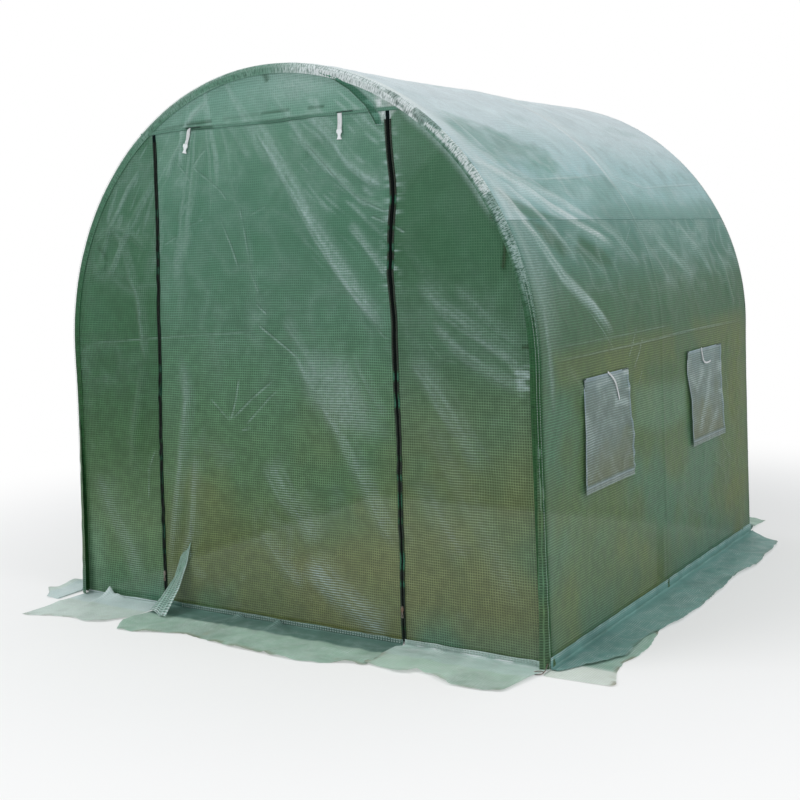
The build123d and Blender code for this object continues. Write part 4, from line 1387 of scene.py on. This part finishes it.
# ---- Straps and ties ----------------------------------------------------------------------------
def door_strap(number, x, lean):
    """A white webbing strap sewn into the seam, hanging down to its buckle."""
    t = np.linspace(0, 1, 24)
    drop = 0.058
    z = DOOR_TOP + 0.004 - drop * t
    across_x = x + lean * t
    path = front_face(across_x, z, 0.0022)
    path[:, 1] -= 0.0015 * np.sin(3 * math.pi * t) * t
    across = unit(np.array((1.0, 0.0, -lean / drop)))
    profile = [
        (-0.0085, -0.0006), (-0.0087, 0.0004), (-0.006, 0.0009), (0.006, 0.0009), (0.0087, 0.0004),
        (0.0085, -0.0006),
    ]
    strap = swept(f"door_strap_{number}", path, across, FORWARDS, profile, white_webbing)
    return strap, path[-1]


def buckle(number, end, lean):
    """The buckle half at a strap's end, a frame with a slot, drawn as a solid plate with shoulders, a waist
    and a flared mouth.
    """
    half = [
        (0.0088, 0.004), (0.0104, 0.0), (0.0104, -0.006), (0.0072, -0.009), (0.0048, -0.015),
        (0.0062, -0.021), (0.0098, -0.028),
    ]
    outline = [(-a, b) for a, b in half] + [(a, b) for a, b in reversed(half)]
    mesh = bpy.data.meshes.new(f"door_buckle_{number}")
    count = len(outline)
    front = [(a, -0.0042, b) for a, b in outline]
    back = [(a, 0.0, b) for a, b in outline]
    faces = [(k, k + count, (k + 1) % count + count, (k + 1) % count) for k in range(count)]
    rows = len(half)
    for k in range(rows - 1):
        a, b = k, count - 1 - k
        faces.append((a, a + 1, b - 1, b))
        faces.append((b + count, b - 1 + count, a + 1 + count, a + count))
    mesh.from_pydata(front + back, [], faces)
    mesh.materials.append(white_plastic)
    piece = bpy.data.objects.new(mesh.name, mesh)
    bpy.context.scene.collection.objects.link(piece)
    turn = Matrix.Rotation(-lean * 14, 4, "Y")
    mesh.transform(Matrix.Translation(Vector(end) + Vector((0, -0.0004, 0.002))) @ turn)
    round_off = piece.modifiers.new("rounded", "BEVEL")
    round_off.width = 0.0009
    round_off.segments = 2
    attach(piece, "root")
    return piece


def door_straps():
    """Both straps, each under a dark bar tack."""
    low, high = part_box("door_straps")
    places = (low[0] + 0.011, high[0] - 0.011)
    pieces = []
    for number, (x, lean) in enumerate(zip(places, (-0.018, -0.002)), 1):
        strap, end = door_strap(number, x, lean)
        pieces += [strap, buckle(number, end, lean)]
    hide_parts("door_straps")
    rows = []
    for x in places:
        across = np.linspace(x - 0.013, x + 0.05, 8)
        rows.append((front_face(across, np.full(8, DOOR_TOP + 0.007), 0.0030), (0, -1, 0)))
    stitches("strap_tacks", rows, dark_thread, pitch=0.005, size=(0.005, 0.003, 0.0016))


def hoop_ties():
    """Dark webbing ties that hold the cover to the end hoops from inside, with loose tails."""
    places = ((math.radians(4), 0.035), (math.radians(23), 0.10))
    centre, r = RADIUS - WRAP, 0.0138
    turn = np.linspace(-0.45 * math.pi, 0.55 * math.pi, 14)[:9, None]
    fall = np.linspace(0, 1, 10)[1:]
    profile = [(-0.009, 0.0), (-0.009, 0.0012), (0.009, 0.0012), (0.009, 0.0)]
    first = None
    ties = itertools.product((-1, 1), (-1, 1), places)
    for number, (face, side, (angle, tail)) in enumerate(ties, 1):
        inward = np.array((-side * math.cos(angle), 0, -math.sin(angle)))
        level = EAVE + centre * math.sin(angle)
        middle = np.array((side * centre * math.cos(angle), face * HOOP, level))
        path = middle + r * (np.cos(turn) * inward + face * np.sin(turn) * np.array((0, 1, 0)))
        across = (-side * math.sin(angle), 0, math.cos(angle))
        out = unit(path - middle)
        piece = swept(f"hoop_tie_{number}", path, across, out, profile, dark_webbing)
        first = first or piece
        drop = np.stack([-side * 0.006 * fall, 0.004 * np.sin(6 * fall), -tail * fall], -1)
        hang = middle + inward * (r + 0.004) + drop
        name = f"hoop_tie_tail_{number}"
        swept(name, hang, (side, 0, 0), FORWARDS, profile, dark_webbing)
    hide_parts("hoop_ties")


# ---- Windows ------------------------------------------------------------------------------------
FLAP_LOW, FLAP_HIGH = (corner[2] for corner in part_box("right_window_flaps"))
WINDOW_PALE = srgb(114, 131, 128)
HEM_PALE = srgb(152, 170, 188)
FLAP_EDGES = {                               # from the window's middle, at places down the flap
    1: ([0, 0.5, 1], [-0.212, -0.208, -0.222], [0.156, 0.184, 0.194]),
    2: ([0, 0.22, 0.5, 1], [-0.246, -0.252, -0.212, -0.204], [0.152, 0.153, 0.158, 0.176]),
}
# The paleness is the strength of each fold's painted sheen.
FLAP_FOLDS = {                               # from the window's middle and up, width, paleness
    1: [
        ([(0.03, 0.765), (0.09, 0.762), (0.17, 0.750)], 0.017, 1.10),
        ([(-0.12, 0.835), (-0.02, 0.848), (0.10, 0.850)], 0.018, 0.55),
    ],
    2: [
        ([(-0.23, 0.79), (-0.14, 0.72), (-0.05, 0.80)], 0.026, 0.60),
        ([(0.02, 0.80), (-0.02, 0.68), (-0.14, 0.53)], 0.026, 0.70),
        ([(0.11, 0.62), (0.04, 0.56), (-0.02, 0.52)], 0.022, 0.50),
    ],
}


def flap_drop(z):
    """How far down a flap a height is, from 0 to 1."""
    return (FLAP_HIGH - z) / (FLAP_HIGH - FLAP_LOW)


def flap_y(number, centre, t, z):
    """A place across a flap, from 0 at its left edge to 1 at its right edge, at a height."""
    places, left, right = FLAP_EDGES[number]
    drop = flap_drop(z)
    start, end = np.interp(drop, places, left), np.interp(drop, places, right)
    return centre + start + (end - start) * t


def flap_points(side, y, z, centre, seed):
    """A window flap's surface: it hangs just off the wall, wavy towards its free edges."""
    drop = flap_drop(z)
    across = (y - centre) / 0.19
    out = 0.0040 + 0.0012 * drop + 0.0022 * drop * layers(y, z, 0.12, seed)
    out += 0.0024 * ridges(y, z, 0.07, seed + 3) * drop
    free = smooth(across, 0.70, 1.1)
    out += free * (0.004 + 0.007 * noise(z / 0.022, y / 0.03, seed + 5))
    edge = free * 0.006 * noise(z / 0.02, y * 0, seed + 6)
    x = side * (RADIUS + flare(z, side) + np.clip(out, 0.0038, None))
    return np.stack([x, y + edge, z], -1)


def flap_line(side, number, centre, seed, t, z):
    """A line on a flap, from its places across the flap and its heights."""
    t, z = np.broadcast_arrays(t, z)
    return flap_points(side, flap_y(number, centre, t, z), z, centre, seed)


def window_flap(side, label, number, centre, width, seed):
    """A film flap over a window, with its hems."""
    t = shares(0.0068, width)
    z = steps(0.0068, FLAP_LOW, FLAP_HIGH)
    z, t = lattice(z, t)
    y = flap_y(number, centre, t, z)
    points = flap_points(side, y, z, centre, seed)
    cloud = layers(y, z, 0.12, seed + 8)
    tint = blend(WINDOW_PALE, srgb(100, 116, 98), 0.65 * smooth(cloud, 0.0, 0.6))
    falls = flap_drop(z)
    # Olive towards the bottom: the wall seen through the flap, painted. Bluish at the top: painted sheen.
    tint = blend(tint, srgb(112, 118, 92), 0.75 * smooth(falls + 0.3 * cloud, 0.40, 0.90))
    tint = blend(tint, srgb(126, 150, 154), 0.60 * (1 - smooth(falls - 0.3 * cloud, 0.02, 0.30)))
    # Painted highlights: broad patches, crinkles, the folds and the ruffled free edge.
    shine = 0.50 * smooth(-cloud, 0.15, 0.6) * (1 - 0.6 * smooth(falls, 0.6, 0.9))
    shine += 0.25 * ridges(y, z, 0.09, seed + 9)
    for folded, spread, pale in FLAP_FOLDS[number]:
        shine += pale * fold(y, z, [(centre + a, b) for a, b in folded], spread)
    ruffled = smooth(t, 0.82, 0.97) * smooth(noise(z / 0.020, t * 3, seed + 11), 0.0, 0.4)
    shine += 0.95 * ruffled * (1 - smooth(falls, 0.5, 0.7))
    from_side = width * np.minimum(t, 1 - t)
    above = z - FLAP_LOW
    hem = np.maximum(1 - smooth(from_side, 0.007, 0.010), 1 - smooth(above, 0.020, 0.024))
    hem = np.maximum(hem, 1 - smooth(FLAP_HIGH - z, 0.010, 0.013))
    tint = blend(tint, HEM_PALE, hem * (0.65 - 0.35 * (1 - smooth(above, 0.014, 0.018))))
    line = bump(from_side, 0.0105, 0.0022) + bump(above, 0.026, 0.0025)
    tint = blend(tint, srgb(70, 92, 88), 0.5 * np.clip(line, 0, 1))
    points[..., 0] += side * 0.0010 * hem
    uv = np.stack([y, z], -1)
    tint = with_shine(tint, shine)
    name = f"{label}_window_flap_{number}"
    piece = new_grid(name, points, uv, tint, window_film, turned=side > 0)
    size = (width * 1.08, FLAP_HIGH - FLAP_LOW)
    return piece


def flap_rows(side, number, centre, seed):
    """The stitch rows of one flap: down both sides, along the top and twice along the bottom."""
    rows = []
    z = np.linspace(FLAP_LOW + 0.004, FLAP_HIGH - 0.004, 60)
    for t in (0.018, 0.982):
        rows.append(flap_line(side, number, centre, seed, t, z))
    t = np.linspace(0.012, 0.988, 60)
    for height in (FLAP_LOW + 0.005, FLAP_LOW + 0.021, FLAP_HIGH - 0.006):
        rows.append(flap_line(side, number, centre, seed, t, height))
    return [(row + np.array((side * 0.0012, 0, 0)), (side, 0, 0)) for row in rows]


def corner_tacks(side, number, centre, seed):
    """The dark bar tacks at a flap's top corners."""
    rows = []
    for ends in ((0.0, 0.045), (0.86, 1.0)):
        rows.append(flap_line(side, number, centre, seed, np.linspace(*ends, 8), FLAP_HIGH - 0.002))
    z = np.linspace(FLAP_HIGH - 0.03, FLAP_HIGH, 8)
    rows.append(flap_line(side, number, centre, seed, 0.004, z))
    return [(row + np.array((side * 0.0016, 0, 0)), (side, 0, 0)) for row in rows]


TIE_LINES = {                                # from the flap's top edge: along it and down
    1: [(-0.02, -0.004), (0.02, 0.018), (0.05, 0.055), (0.075, 0.10)],
    2: [(-0.09, -0.004), (-0.082, 0.03), (-0.075, 0.055), (-0.03, 0.064), (0.02, 0.060)],
}


def window_tie(side, number, centre, seed):
    """The narrow tape that ties a rolled flap, hanging loose over it."""
    curve = bpy.data.curves.new("tie route", "CURVE")
    curve.dimensions = "3D"
    route = TIE_LINES[number]
    spline = curve.splines.new("NURBS")
    spline.points.add(len(route) - 1)
    for point, (along_y, down) in zip(spline.points, route):
        point.co = (0, centre + along_y, FLAP_HIGH - down, 1)
    spline.order_u = 3
    spline.use_endpoint_u = True
    spline.resolution_u = 10
    holder = bpy.data.objects.new("tie route", curve)
    line = bpy.data.meshes.new_from_object(holder)
    path = np.array([v.co[:] for v in line.vertices])
    bpy.data.objects.remove(holder)
    bpy.data.curves.remove(curve)
    bpy.data.meshes.remove(line)
    surface = flap_points(side, path[:, 1], path[:, 2], centre, seed)
    run = np.linspace(0, 1, len(path))
    path = surface + side * np.array((1, 0, 0)) * (0.0022 + 0.004 * np.sin(math.pi * run))[:, None]
    out = (float(side), 0.0, 0.0)
    across = unit(np.cross(unit(np.gradient(path, axis=0)), out))
    profile = [(-0.0038, -0.0002), (-0.0036, 0.0006), (0.0036, 0.0006), (0.0038, -0.0002)]
    label = "left" if side < 0 else "right"
    return swept(f"{label}_window_tie_{number}", path, across, out, profile, white_webbing)


def windows():
    """Screens, flaps and ties of both sides."""
    width = hole_edges[1] - hole_edges[0] + (FLAP_HIGH - FLAP_LOW) - (hole_high - hole_low)
    pale_rows, dark_rows, first_tie = [], [], None
    for side, label in ((-1, "left"), (1, "right")):
        for number in (1, 2):
            start, end = hole_edges[2 * number - 2:2 * number]
            centre = (start + end) / 2
            seed = 400 + 20 * number + side
            z = steps(0.012, hole_low - 0.012, hole_high + 0.012)
            z, y = lattice(z, steps(0.012, start - 0.012, end + 0.012))
            behind = 0.0035 + sag(z, y) + 0.0015 * np.abs(layers(y, z, 0.15, seed))
            x = side * (RADIUS + flare(z, side) - behind)
            points = np.stack([x, y, z], -1)
            name, uv = f"{label}_window_screen_{number}", np.stack([y, z], -1)
            tint = np.ones(points.shape)
            screen = new_grid(name, points, uv, tint, screen_mesh, turned=side < 0)
            if number == 1:
                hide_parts(f"{label}_window_screens")
            window_flap(side, label, number, centre, width, seed)
            pale_rows += flap_rows(side, number, centre, seed)
            dark_rows += corner_tacks(side, number, centre, seed)
            tie = window_tie(side, number, centre, seed)
            first_tie = first_tie or tie
        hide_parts(f"{label}_window_flaps")
    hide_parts("window_ties")
    stitches("flap_stitches", pale_rows, pale_thread, pitch=0.007, size=(0.0046, 0.0011, 0.0009))
    stitches("flap_tacks", dark_rows, dark_thread, pitch=0.0045, size=(0.0044, 0.0028, 0.0016))


# ---- Skirts -------------------------------------------------------------------------------------
def skirt(
    name, origin, run, outward, span, reaches, tones, replaced, seed, lift=0.0, raised=0.020, pleats=(),
    wrinkled=1.0, wall=(-UNSEEN, UNSEEN), bright=(UNSEEN, UNSEEN), lap=0.0, soiled=0.25, creased=False,
):
    """Film that hangs down over the ground rail and lies out over the ground, with a cut edge.

    origin is a point on the face at the ground, run and outward are unit directions, span is the
    stretch along run, reaches lists how far out the edge lies at places along it, lift raises it
    over a sheet below, pleats lists (place, height, width) of gathers that stand up, wall is the
    stretch that hangs against a wall, bright is the stretch that shines, lap is how far the first end
    runs over its neighbour, soiled is how strongly dirt shows on the cut edge, and creased adds
    shining wrinkles beside the wall.
    """
    a = steps(0.0095, *span)
    rows = 40
    hang, bend = 5, 4
    a, w = lattice(a, np.arange(hang + bend + rows))
    edge = np.interp(a, [p[0] for p in reaches], [p[1] for p in reaches])
    edge = edge + 0.004 * layers(a, a * 0, 0.10, seed) + 0.0025 * noise(a / 0.014, a * 0, seed + 2)
    edge = np.clip(edge, 0.016, None)
    t = np.clip((w - hang - bend + 1) / rows, 0, 1)
    on_face = w < hang
    in_bend = (w >= hang) & (w < hang + bend)
    bend_r = 0.005
    base = 0.0014 + lift
    against = smooth(a, wall[0] - 0.006, wall[0] + 0.004)
    against = against * (1 - smooth(a, wall[1] - 0.004, wall[1] + 0.006))
    hanging = base + bend_r + (raised - bend_r) * (1 - w / hang) * against
    hanging = hanging + 0.0016 * noise(a / 0.05, w / 9, seed + 3)
    bulge = 0.0016 + 0.0016 * np.abs(noise(a / 0.035, w / 4, seed + 4))
    turn = np.clip((w - hang) / bend, 0, 1) * math.pi / 2
    flat_out = bulge + bend_r + t * (edge - bulge - bend_r)
    out = np.where(on_face, bulge, np.where(in_bend, bulge + bend_r * (1 - np.cos(turn)), flat_out))
    ripple = 0.0040 * layers(a, out, 0.13, seed + 5) + 0.011 * ridges(a, out * 0.6, 0.17, seed + 8)
    rise = wrinkled * np.abs(ripple) * smooth(t, 0, 0.3) * (1 + 0.8 * t)
    rise = rise + wrinkled * 0.010 * t**4 * noise(a / 0.06, t, seed + 12) ** 2
    gathered = np.zeros(a.shape)
    for place, height, width in pleats:
        gather = bump(a, place, width) * np.exp(-t * 7) * smooth(t, -0.05, 0.05)
        gathered = np.maximum(gathered, gather)
        rise = rise + height * gather
    z = np.where(on_face, hanging, np.where(in_bend, base + bend_r * (1 - np.sin(turn)), base + rise))
    drift = 0.008 * t * noise(a / 0.12, t * 2, seed + 15)
    drift = drift - lap * smooth(t, 0.0, 0.12) * (1 - smooth(a, span[0], span[0] + 0.08))
    origin, run, outward = (np.array(v, float) for v in (origin, run, outward))
    points = origin + (a + drift)[..., None] * run + out[..., None] * outward
    points[..., 2] = z
    colour = blend(*tones, smooth(out, 0.096, 0.116))
    cloud = layers(a, out, 0.22, seed + 20)
    colour = blend(colour, colour * 0.80, smooth(cloud, 0.0, 0.6))
    stained = layers(a, out, 0.06, seed + 21)
    colour = blend(colour, colour * 0.82, 0.60 * smooth(stained, 0.05, 0.55))
    # Painted highlights on the wrinkles, the cut edge, the hem against the wall and the gathers.
    shine = 0.45 * ridges(a, out, 0.10, seed + 25) * smooth(t, 0, 0.2)
    shine = np.maximum(shine, 0.36 * ridges(a, out * 1.5, 0.045, seed + 26) * smooth(t, 0.05, 0.3))
    shine = np.maximum(shine, 0.40 * smooth(t, 0.93, 0.99) * smooth(noise(a / 0.04, t, seed + 27), 0, 0.6))
    hem = bump(w, 1.0, 1.3) * (0.55 + 0.45 * noise(a / 0.018, w / 3, seed + 41))
    shine = np.maximum(shine, 0.85 * hem * (against > 0.5))
    shine = np.maximum(shine, 0.75 * gathered)
    if creased:
        wrinkles = smooth(noise(a / 0.030, out / 0.012, seed + 43), -0.3, 0.6)
        shine = np.maximum(shine, 0.75 * ((1 - smooth(out, 0.03, 0.075)) * wrinkles))
    colour = blend(
        colour, srgb(202, 207, 201),
        0.9 * smooth(a, bright[0], bright[0] + 0.01) * (1 - smooth(a, bright[1] - 0.02, bright[1])),
    )
    # Painted shade in the crevice where the film bends out from the face.
    crevice = bump(w, hang + 1, 1.8)
    colour = blend(
        colour, srgb(44, 76, 66), 0.66 * crevice * (0.6 + 0.4 * noise(a / 0.09, w * 0, seed + 29)),
    )
    soil = smooth(layers(a, out, 0.07, seed + 30), 0.40, 0.8) * smooth(t, 0.3, 0.9)
    colour = blend(colour, srgb(132, 124, 92), 0.40 * soil)
    cut = smooth(t, 0.90, 0.985) * smooth(noise(a / 0.035, t, seed + 33), -0.3, 0.5)
    if lap:
        cut = np.maximum(cut, 2.5 * (1 - smooth(a, span[0] + 0.004, span[0] + 0.016)) * smooth(t, 0.3, 0.6))
    colour = blend(colour, srgb(112, 100, 74), np.clip(soiled * cut, 0, 0.8))
    uv = np.stack([a, out + np.where(on_face, raised * w / hang, raised)], -1)
    colour = with_shine(colour, shine)
    if np.dot(np.cross(run, outward), (0, 0, 1)) < 0:
        points, uv, colour = points[::-1], uv[::-1], colour[::-1]
    piece = new_grid(name, points, uv, colour, skirt_film)
    if replaced:
        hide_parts(replaced)
    width = float(a.max() - a.min())
    depth = float(edge.max() + raised)
    area = float(np.trapz(edge[:, 0] + raised, a[:, 0]))
    rail = name.split("_")[0] + "_ground_rail"
    min(area, width * depth)


SAGE = (srgb(76, 106, 99), srgb(143, 170, 156))
SHINY_SAGE = (srgb(166, 188, 182), srgb(162, 186, 173))
SEA_GREEN = (srgb(102, 142, 138), srgb(110, 147, 143))
PALE_SAGE = (srgb(176, 192, 192), srgb(178, 192, 186))
UNDER_SAGE = (srgb(148, 178, 164), srgb(142, 174, 160))


def skirts():
    """The ground skirts: three in front, split at the zips, one along each side, one behind."""
    face = END + 0.0004
    left_foot, right_foot = zip_x(-1, 0.04), zip_x(1, 0.04)
    gap = 0.004
    left = [
        (-1.02, 0.335), (-0.97, 0.335), (-0.87, 0.29), (-0.80, 0.28), (-0.71, 0.30), (-0.646, 0.27),
        (-0.60, 0.20),
    ]
    door = [
        (-0.60, 0.20), (-0.54, 0.31), (-0.47, 0.305), (-0.27, 0.24), (-0.02, 0.28), (0.22, 0.29),
        (0.33, 0.275), (0.43, 0.228), (0.475, 0.222),
    ]
    right = [
        (0.475, 0.205), (0.60, 0.238), (0.635, 0.232), (0.648, 0.203), (0.708, 0.214), (0.80, 0.255),
        (0.896, 0.256), (0.965, 0.238), (0.980, 0.150), (1.000, 0.060), (1.012, 0.023),
    ]
    fronts = (
        (
            "front_left_skirt", (-RADIUS - 0.004, left_foot - gap), left, PALE_SAGE,
            [(-0.870, 0.056, 0.015), (-0.83, 0.026, 0.03)],
        ),
        (
            "front_door_skirt", (left_foot + gap, right_foot - gap), door, SAGE,
            [(-0.22, 0.030, 0.024), (-0.04, 0.034, 0.018)],
        ),
        ("front_right_skirt", (right_foot + gap, RADIUS + 0.014), right, SHINY_SAGE, [(0.62, 0.012, 0.02)]),
    )
    for k, (name, span, reaches, tones, pleats) in enumerate(fronts):
        replaced = "front_skirts" if k == 0 else None
        lifted, lap, raised, soiled = (
            (0, 0, 0.010, 0.30), (0, 0, 0.020, 0.55), (0.003, 0.022, 0.020, 0.30)
        )[k]
        skirt(
            name, (0, -face, 0), (1, 0, 0), (0, -1, 0), span, reaches, tones, replaced, 500 + 40 * k,
            lifted, raised, pleats=pleats, wrinkled=0.40, lap=lap, soiled=soiled, creased=k == 2,
        )
    hems = []
    for span, low in (
        ((left_foot + 0.08, right_foot - 0.01), 0.0), ((right_foot + 0.01, RADIUS - 0.03), 0.003),
    ):
        across = np.linspace(*span, 60)
        for height in (0.0105, 0.0180):
            path = np.stack([across, np.full(60, -face - 0.0044), np.full(60, height + low)], -1)
            hems.append((path, (0, -1, 0)))
    stitches("skirt_hem_stitches", hems, pale_thread, pitch=0.0105, size=(0.0058, 0.0044, 0.001))
    foot = RADIUS + 0.016
    side = [
        (-1.03, 0.02), (-0.988, 0.046), (-0.909, 0.10), (-0.823, 0.147), (-0.78, 0.164), (-0.687, 0.149),
        (-0.595, 0.141), (-0.51, 0.154), (-0.358, 0.187), (0.016, 0.186), (0.278, 0.173), (0.44, 0.198),
        (0.858, 0.172), (0.93, 0.095), (1.0, 0.02),
    ]
    span = (-END - 0.004, END + 0.004)
    skirt(
        "right_skirt_film", (foot, 0, 0), (0, 1, 0), (1, 0, 0), span, side, SEA_GREEN, "right_skirt", 640,
        lift=0.0035, raised=0.036, wrinkled=0.35,
    )
    under = [
        (-1.072, 0.222), (-1.05, 0.226), (-0.95, 0.19), (-0.854, 0.174), (-0.756, 0.193), (-0.631, 0.184),
        (-0.518, 0.158), (-0.40, 0.12),
    ]
    skirt(
        "right_skirt_under_layer", (foot, 0, 0), (0, 1, 0), (1, 0, 0), (-1.072, -0.42), under, UNDER_SAGE,
        None, 660, raised=0.012, wrinkled=0.2, wall=(UNSEEN, UNSEEN), bright=(-1.09, -0.93), soiled=0.75,
    )
    left = [
        (-1.15, 0.06), (-1.10, 0.10), (-1.07, 0.14), (-0.94, 0.12), (-0.4, 0.17), (0.2, 0.16), (0.7, 0.18),
        (1.05, 0.15),
    ]
    span = (-1.145, END + 0.01)
    skirt(
        "left_skirt_film", (-RADIUS - 0.036, 0, 0), (0, 1, 0), (-1, 0, 0), span, left, PALE_SAGE,
        "left_skirt", 680, wall=(-END, END),
    )
    back = [(-1.03, 0.25), (-0.6, 0.28), (-0.1, 0.25), (0.4, 0.27), (1.03, 0.24)]
    span = (-RADIUS - 0.02, RADIUS + 0.01)
    skirt("back_skirt_film", (0, face, 0), (1, 0, 0), (0, 1, 0), span, back, SAGE, "back_skirt", 720)


def door_tail():
    """The door's gathered lower corner, pulled out over the skirt beside the left zip."""
    near = [(-0.500, -1.018, 0.200), (-0.528, -1.026, 0.120), (-0.566, -1.060, 0.050)]
    far = [(-0.440, -1.018, 0.270), (-0.458, -1.030, 0.185), (-0.478, -1.060, 0.092)]
    near.append((-0.578, -1.112, 0.010))
    far.append((-0.463, -1.158, 0.010))
    points, run, over = ruled(near, far, 44, 17)
    points[..., 1] -= 0.004 * np.sin(over * math.pi * 3 + 1) * smooth(run, 0.1, 0.5) + 0.002
    points[..., 2] = np.clip(points[..., 2] + 0.004 * np.sin(over * 9) * run, 0.006, None)
    tone = blend(srgb(108, 142, 126), srgb(128, 158, 152), run)
    # Painted highlights along the edges, on the folds and at the foot.
    shine = 0.9 * bump(over, 1, 0.08) + 0.4 * bump(over, 0, 0.08)
    shine += 0.9 * smooth(run, 0.94, 1.0) + 0.4 * ridges(run * 0.3, over * 0.1, 0.05, 811) + 0.2
    uv = np.stack([over * 0.05, run * 0.26], -1)
    piece = new_grid("door_film_tail", points, uv, with_shine(tone, shine), film)


def corner_peg():
    """The bent wire eye at the front right corner, by which the skirt is pegged down."""
    centre = np.array((0.998, -1.066, 0.006))
    turn = np.linspace(0, 2 * math.pi, 19)
    loop = centre + np.stack([0.017 * np.cos(turn), 0.008 * np.sin(turn), 0.004 * np.sin(turn + 0.6)], -1)
    tail = np.array([(1.012, -1.045, 0.010), (1.008, -1.020, 0.022)])
    path = np.concatenate([loop, tail])
    ahead = unit(np.gradient(path, axis=0))
    across = unit(np.cross(ahead, (0.2, 0.1, 1.0)))
    out = np.cross(across, ahead)
    ring = [(0.0016 * math.cos(a), 0.0016 * math.sin(a)) for a in np.linspace(0, 2 * math.pi, 9)]
    swept("corner_peg_eye", path, across, out, ring[::-1], rusty_metal)


side_film(1, "right")
side_film(-1, "left")
roof_film()
door_film()
beside_film(-1, "left", LEFT_TONES)
beside_film(1, "right", RIGHT_TONES)
top_film()
back_film()
seam_band("front_seam_band", -1, "front_edge_seam")
seam_band("back_seam_band", 1, "back_edge_seam")
band_stitches()
for side, label in ((-1, "left"), (1, "right")):
    zip_pieces(side, label)
    zip_stop(side, label)
door_seam()
corner_facing()
door_straps()
hoop_ties()
windows()
skirts()
door_tail()
corner_peg()


# ---- Stage --------------------------------------------------------------------------------------
def stage():
    """A pale floor that fades to white, and a white surround."""
    n = Nodes(bpy.data.materials.new("floor"))
    tone = n.speckle(2.0).mapped(0.2, 0.8, 0.985, 1.0, "LINEAR")
    matt = n.add("BsdfDiffuse", {"Color": n.scaled((0.90, 0.90, 0.90), tone)})
    white = n.add("Emission", {"Color": (1, 1, 1, 1), "Strength": 1.0})
    distance = n.add("VectorMath", {0: n.place()}, "Value", operation="LENGTH")
    fade = distance.mapped(1.7, 3.6, 0.35, 1.0)
    direct = n.math("MAXIMUM", *n.add("LightPath", None, ("Is Camera Ray", "Is Glossy Ray")))
    material = n.finish(n.add("MixShader", {0: fade * direct, 1: matt, 2: white}))
    mesh = bpy.data.meshes.new("floor")
    reach = 40.0
    mesh.from_pydata(
        [(-reach, -reach, 0), (reach, -reach, 0), (reach, reach, 0), (-reach, reach, 0)], [],
        [(0, 1, 2, 3)],
    )
    mesh.materials.append(material)
    floor = bpy.data.objects.new("floor", mesh)
    bpy.context.scene.collection.objects.link(floor)

    world = bpy.data.worlds.new("surround")
    bpy.context.scene.world = world
    n = Nodes(world)
    rays = ("Is Camera Ray", "Is Transmission Ray", "Is Glossy Ray")
    seen, through, mirrored = n.add("LightPath", None, rays)
    direct = n.math("MAXIMUM", n.math("MAXIMUM", seen, through), mirrored)
    soft = n.add("Background", {"Color": (0.96, 0.98, 1.0, 1), "Strength": 0.68})
    white = n.add("Background", {"Color": (1, 1, 1, 1), "Strength": 1.0})
    n.finish(n.add("MixShader", {0: direct, 1: soft, 2: white}), "World")


def soft_light(name, place, power):
    """A large soft lamp, aimed at the tunnel's middle."""
    lamp = bpy.data.lights.new(name, "AREA")
    lamp.shape = "DISK"
    lamp.size = 5.0
    lamp.energy = power
    holder = bpy.data.objects.new(name, lamp)
    holder.location = place
    holder.rotation_euler = (Vector((0, 0, 0.9)) - Vector(place)).to_track_quat("-Z", "Y").to_euler()
    bpy.context.scene.collection.objects.link(holder)


def camera():
    """The camera, turned by yaw, pitch and roll from looking along +Y."""
    yaw, pitch, roll = (math.radians(a) for a in (-32.83, -7.15, -2.03))
    ahead = Vector((math.sin(yaw) * math.cos(pitch), math.cos(yaw) * math.cos(pitch), math.sin(pitch)))
    right = Vector((math.cos(yaw), -math.sin(yaw), 0))
    above = right.cross(ahead)
    turned_right = right * math.cos(roll) + above * math.sin(roll)
    turned_above = above * math.cos(roll) - right * math.sin(roll)
    place = Vector((2.666, -4.380, 1.328))
    data = bpy.data.cameras.new("camera")
    data.sensor_width = 36
    data.lens = 56.05
    holder = bpy.data.objects.new("camera", data)
    axes = Matrix((turned_right, turned_above, -ahead)).transposed().to_4x4()
    holder.matrix_world = Matrix.Translation(place) @ axes
    bpy.context.scene.collection.objects.link(holder)
    bpy.context.scene.camera = holder


stage()
soft_light("key", (-3.5, -5.5, 6.5), 260)
soft_light("fill", (6.0, -1.0, 4.5), 110)
camera()
bpy.context.scene.view_settings.view_transform = "Standard"
